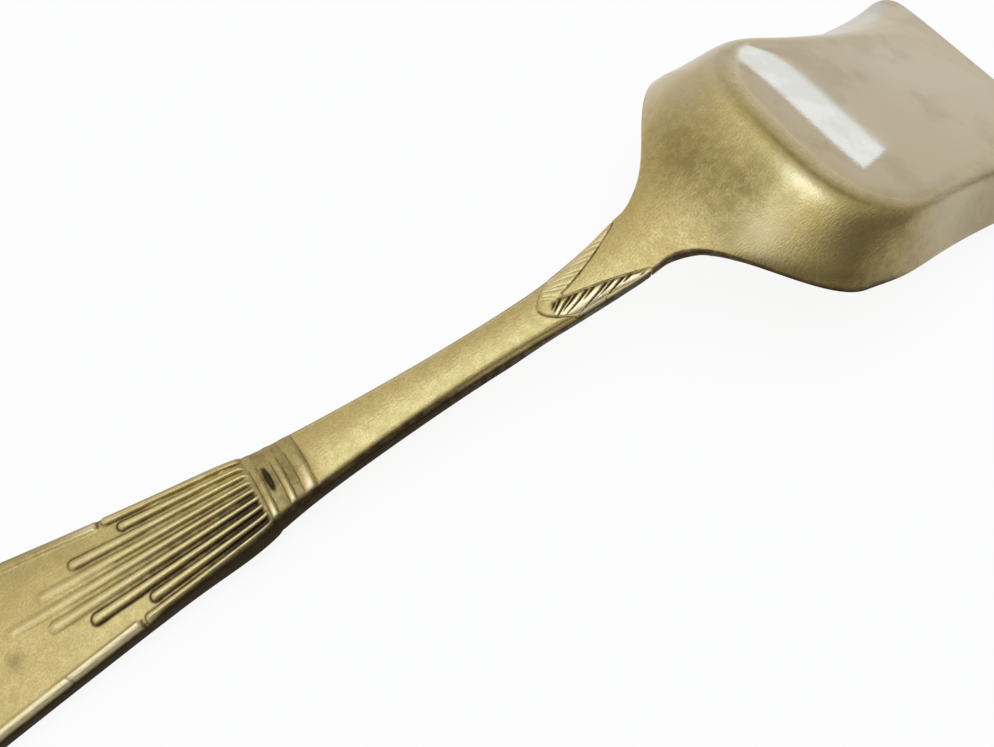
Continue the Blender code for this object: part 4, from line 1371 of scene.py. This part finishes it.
def make_room(context, stage):
    """A soft room round the spoon, bright beyond it and darker on the camera's side."""
    world = context.scene.world or bpy.data.worlds.new("room")
    context.scene.world = world
    world.use_nodes = True
    tree = world.node_tree
    background = tree.nodes["Background"]
    direction = add_node(tree, 'ShaderNodeTexCoord').outputs["Generated"]
    along, _, up = split(tree, direction)
    beyond = add_dot(tree, direction, BRIGHT_WAY)
    level = add_range(tree, beyond, -0.5, -0.05, stage.dark_side, stage.bright_side)
    level = add_math(tree, 'ADD', level, add_range(tree, up, 0.6, 0.95, 0.0, stage.ceiling))
    level = add_math(tree, 'ADD', level, add_range(tree, along, -0.8, -0.2, stage.handle_end, 0.0))
    level = add_math(tree, 'MAXIMUM', level, add_range(tree, along, 0.55, 0.9, 0.0, stage.bowl_end))
    dimmed = add_range(tree, add_dot(tree, direction, DIM_WAY), 0.84, 0.97, 1.0, 0.7)
    level = add_math(tree, 'MULTIPLY', level, dimmed)
    tree.links.new(level, background.inputs["Strength"])
    background.inputs["Color"].default_value = (1.0, 1.0, 1.0, 1.0)


def add_lamp(name, place, target, width, height, power, tint):
    """A soft rectangular lamp that the camera doesn't see."""
    bpy.ops.object.select_all(action='DESELECT')
    bpy.ops.object.light_add(type='AREA', location=place)
    lamp = bpy.context.object
    lamp.name = name
    lamp.data.shape = 'RECTANGLE'
    lamp.data.size = width
    lamp.data.size_y = height
    lamp.data.energy = power
    lamp.data.color = tint
    aim = np.array(target) - np.array(place)
    side = math.atan2(aim[1], aim[0])
    lamp.rotation_euler = (math.acos(-aim[2] / np.linalg.norm(aim)), 0.0, side - math.pi / 2)
    lamp.visible_camera = False


def make_lamps(stage):
    """A cool soft box overhead, and a low strip whose reflection lies across the base."""
    add_lamp("soft_box", place=(0.0, 0.04, 0.6), target=(0.0, 0.04, 0.0), width=0.4, height=0.42,
             power=stage.overhead, tint=(0.52, 0.66, 0.96))
    add_lamp("strip_lamp", place=(0.6, 0.27, 0.0815), target=(0.0, 0.27, 0.0815), width=0.184, height=0.027,
             power=stage.strip, tint=(0.41, 0.59, 1.0))


def make_camera(context, stage):
    """The camera of the photograph, close over the handle's side of the spoon."""
    bpy.ops.object.select_all(action='DESELECT')
    bpy.ops.object.camera_add(location=stage.camera_place, rotation=stage.camera_turn)
    camera = bpy.context.object
    camera.name = "photo_camera"
    camera.data.lens = stage.lens
    camera.data.sensor_width = SENSOR_WIDTH
    camera.data.clip_start = NEAREST_SEEN
    context.scene.camera = camera


class SPOON_PT_panel(bpy.types.Panel):
    """The spoon's makers and settings, in the sidebar"""
    bl_idname = "SPOON_PT_panel"
    bl_label = "Sugar spoon"
    bl_space_type = 'VIEW_3D'
    bl_region_type = 'UI'
    bl_category = "Spoon"

    def draw(self, context):
        layout = self.layout
        for operator in OPERATORS:
            layout.operator(operator.bl_idname)
        for settings in (context.scene.spoon_sizes, context.scene.spoon_finish, context.scene.spoon_stage):
            box = layout.box()
            for name in settings.bl_rna.properties.keys():
                if name not in ("rna_type", "name"):
                    box.prop(settings, name)


OPERATORS = (SPOON_OT_handle, SPOON_OT_bowl, SPOON_OT_seam, SPOON_OT_stage)
CLASSES = (SpoonSizes, SpoonFinish, SpoonStage) + OPERATORS + (SPOON_PT_panel,)


def register():
    for cls in CLASSES:
        bpy.utils.register_class(cls)
    bpy.types.Scene.spoon_sizes = PointerProperty(type=SpoonSizes)
    bpy.types.Scene.spoon_finish = PointerProperty(type=SpoonFinish)
    bpy.types.Scene.spoon_stage = PointerProperty(type=SpoonStage)


def unregister():
    del bpy.types.Scene.spoon_stage
    del bpy.types.Scene.spoon_finish
    del bpy.types.Scene.spoon_sizes
    for cls in reversed(CLASSES):
        bpy.utils.unregister_class(cls)


def main():
    register()
    bpy.ops.spoon.handle()
    bpy.ops.spoon.bowl()
    bpy.ops.spoon.seam()
    bpy.ops.spoon.stage()


if __name__ == "__main__":
    main()
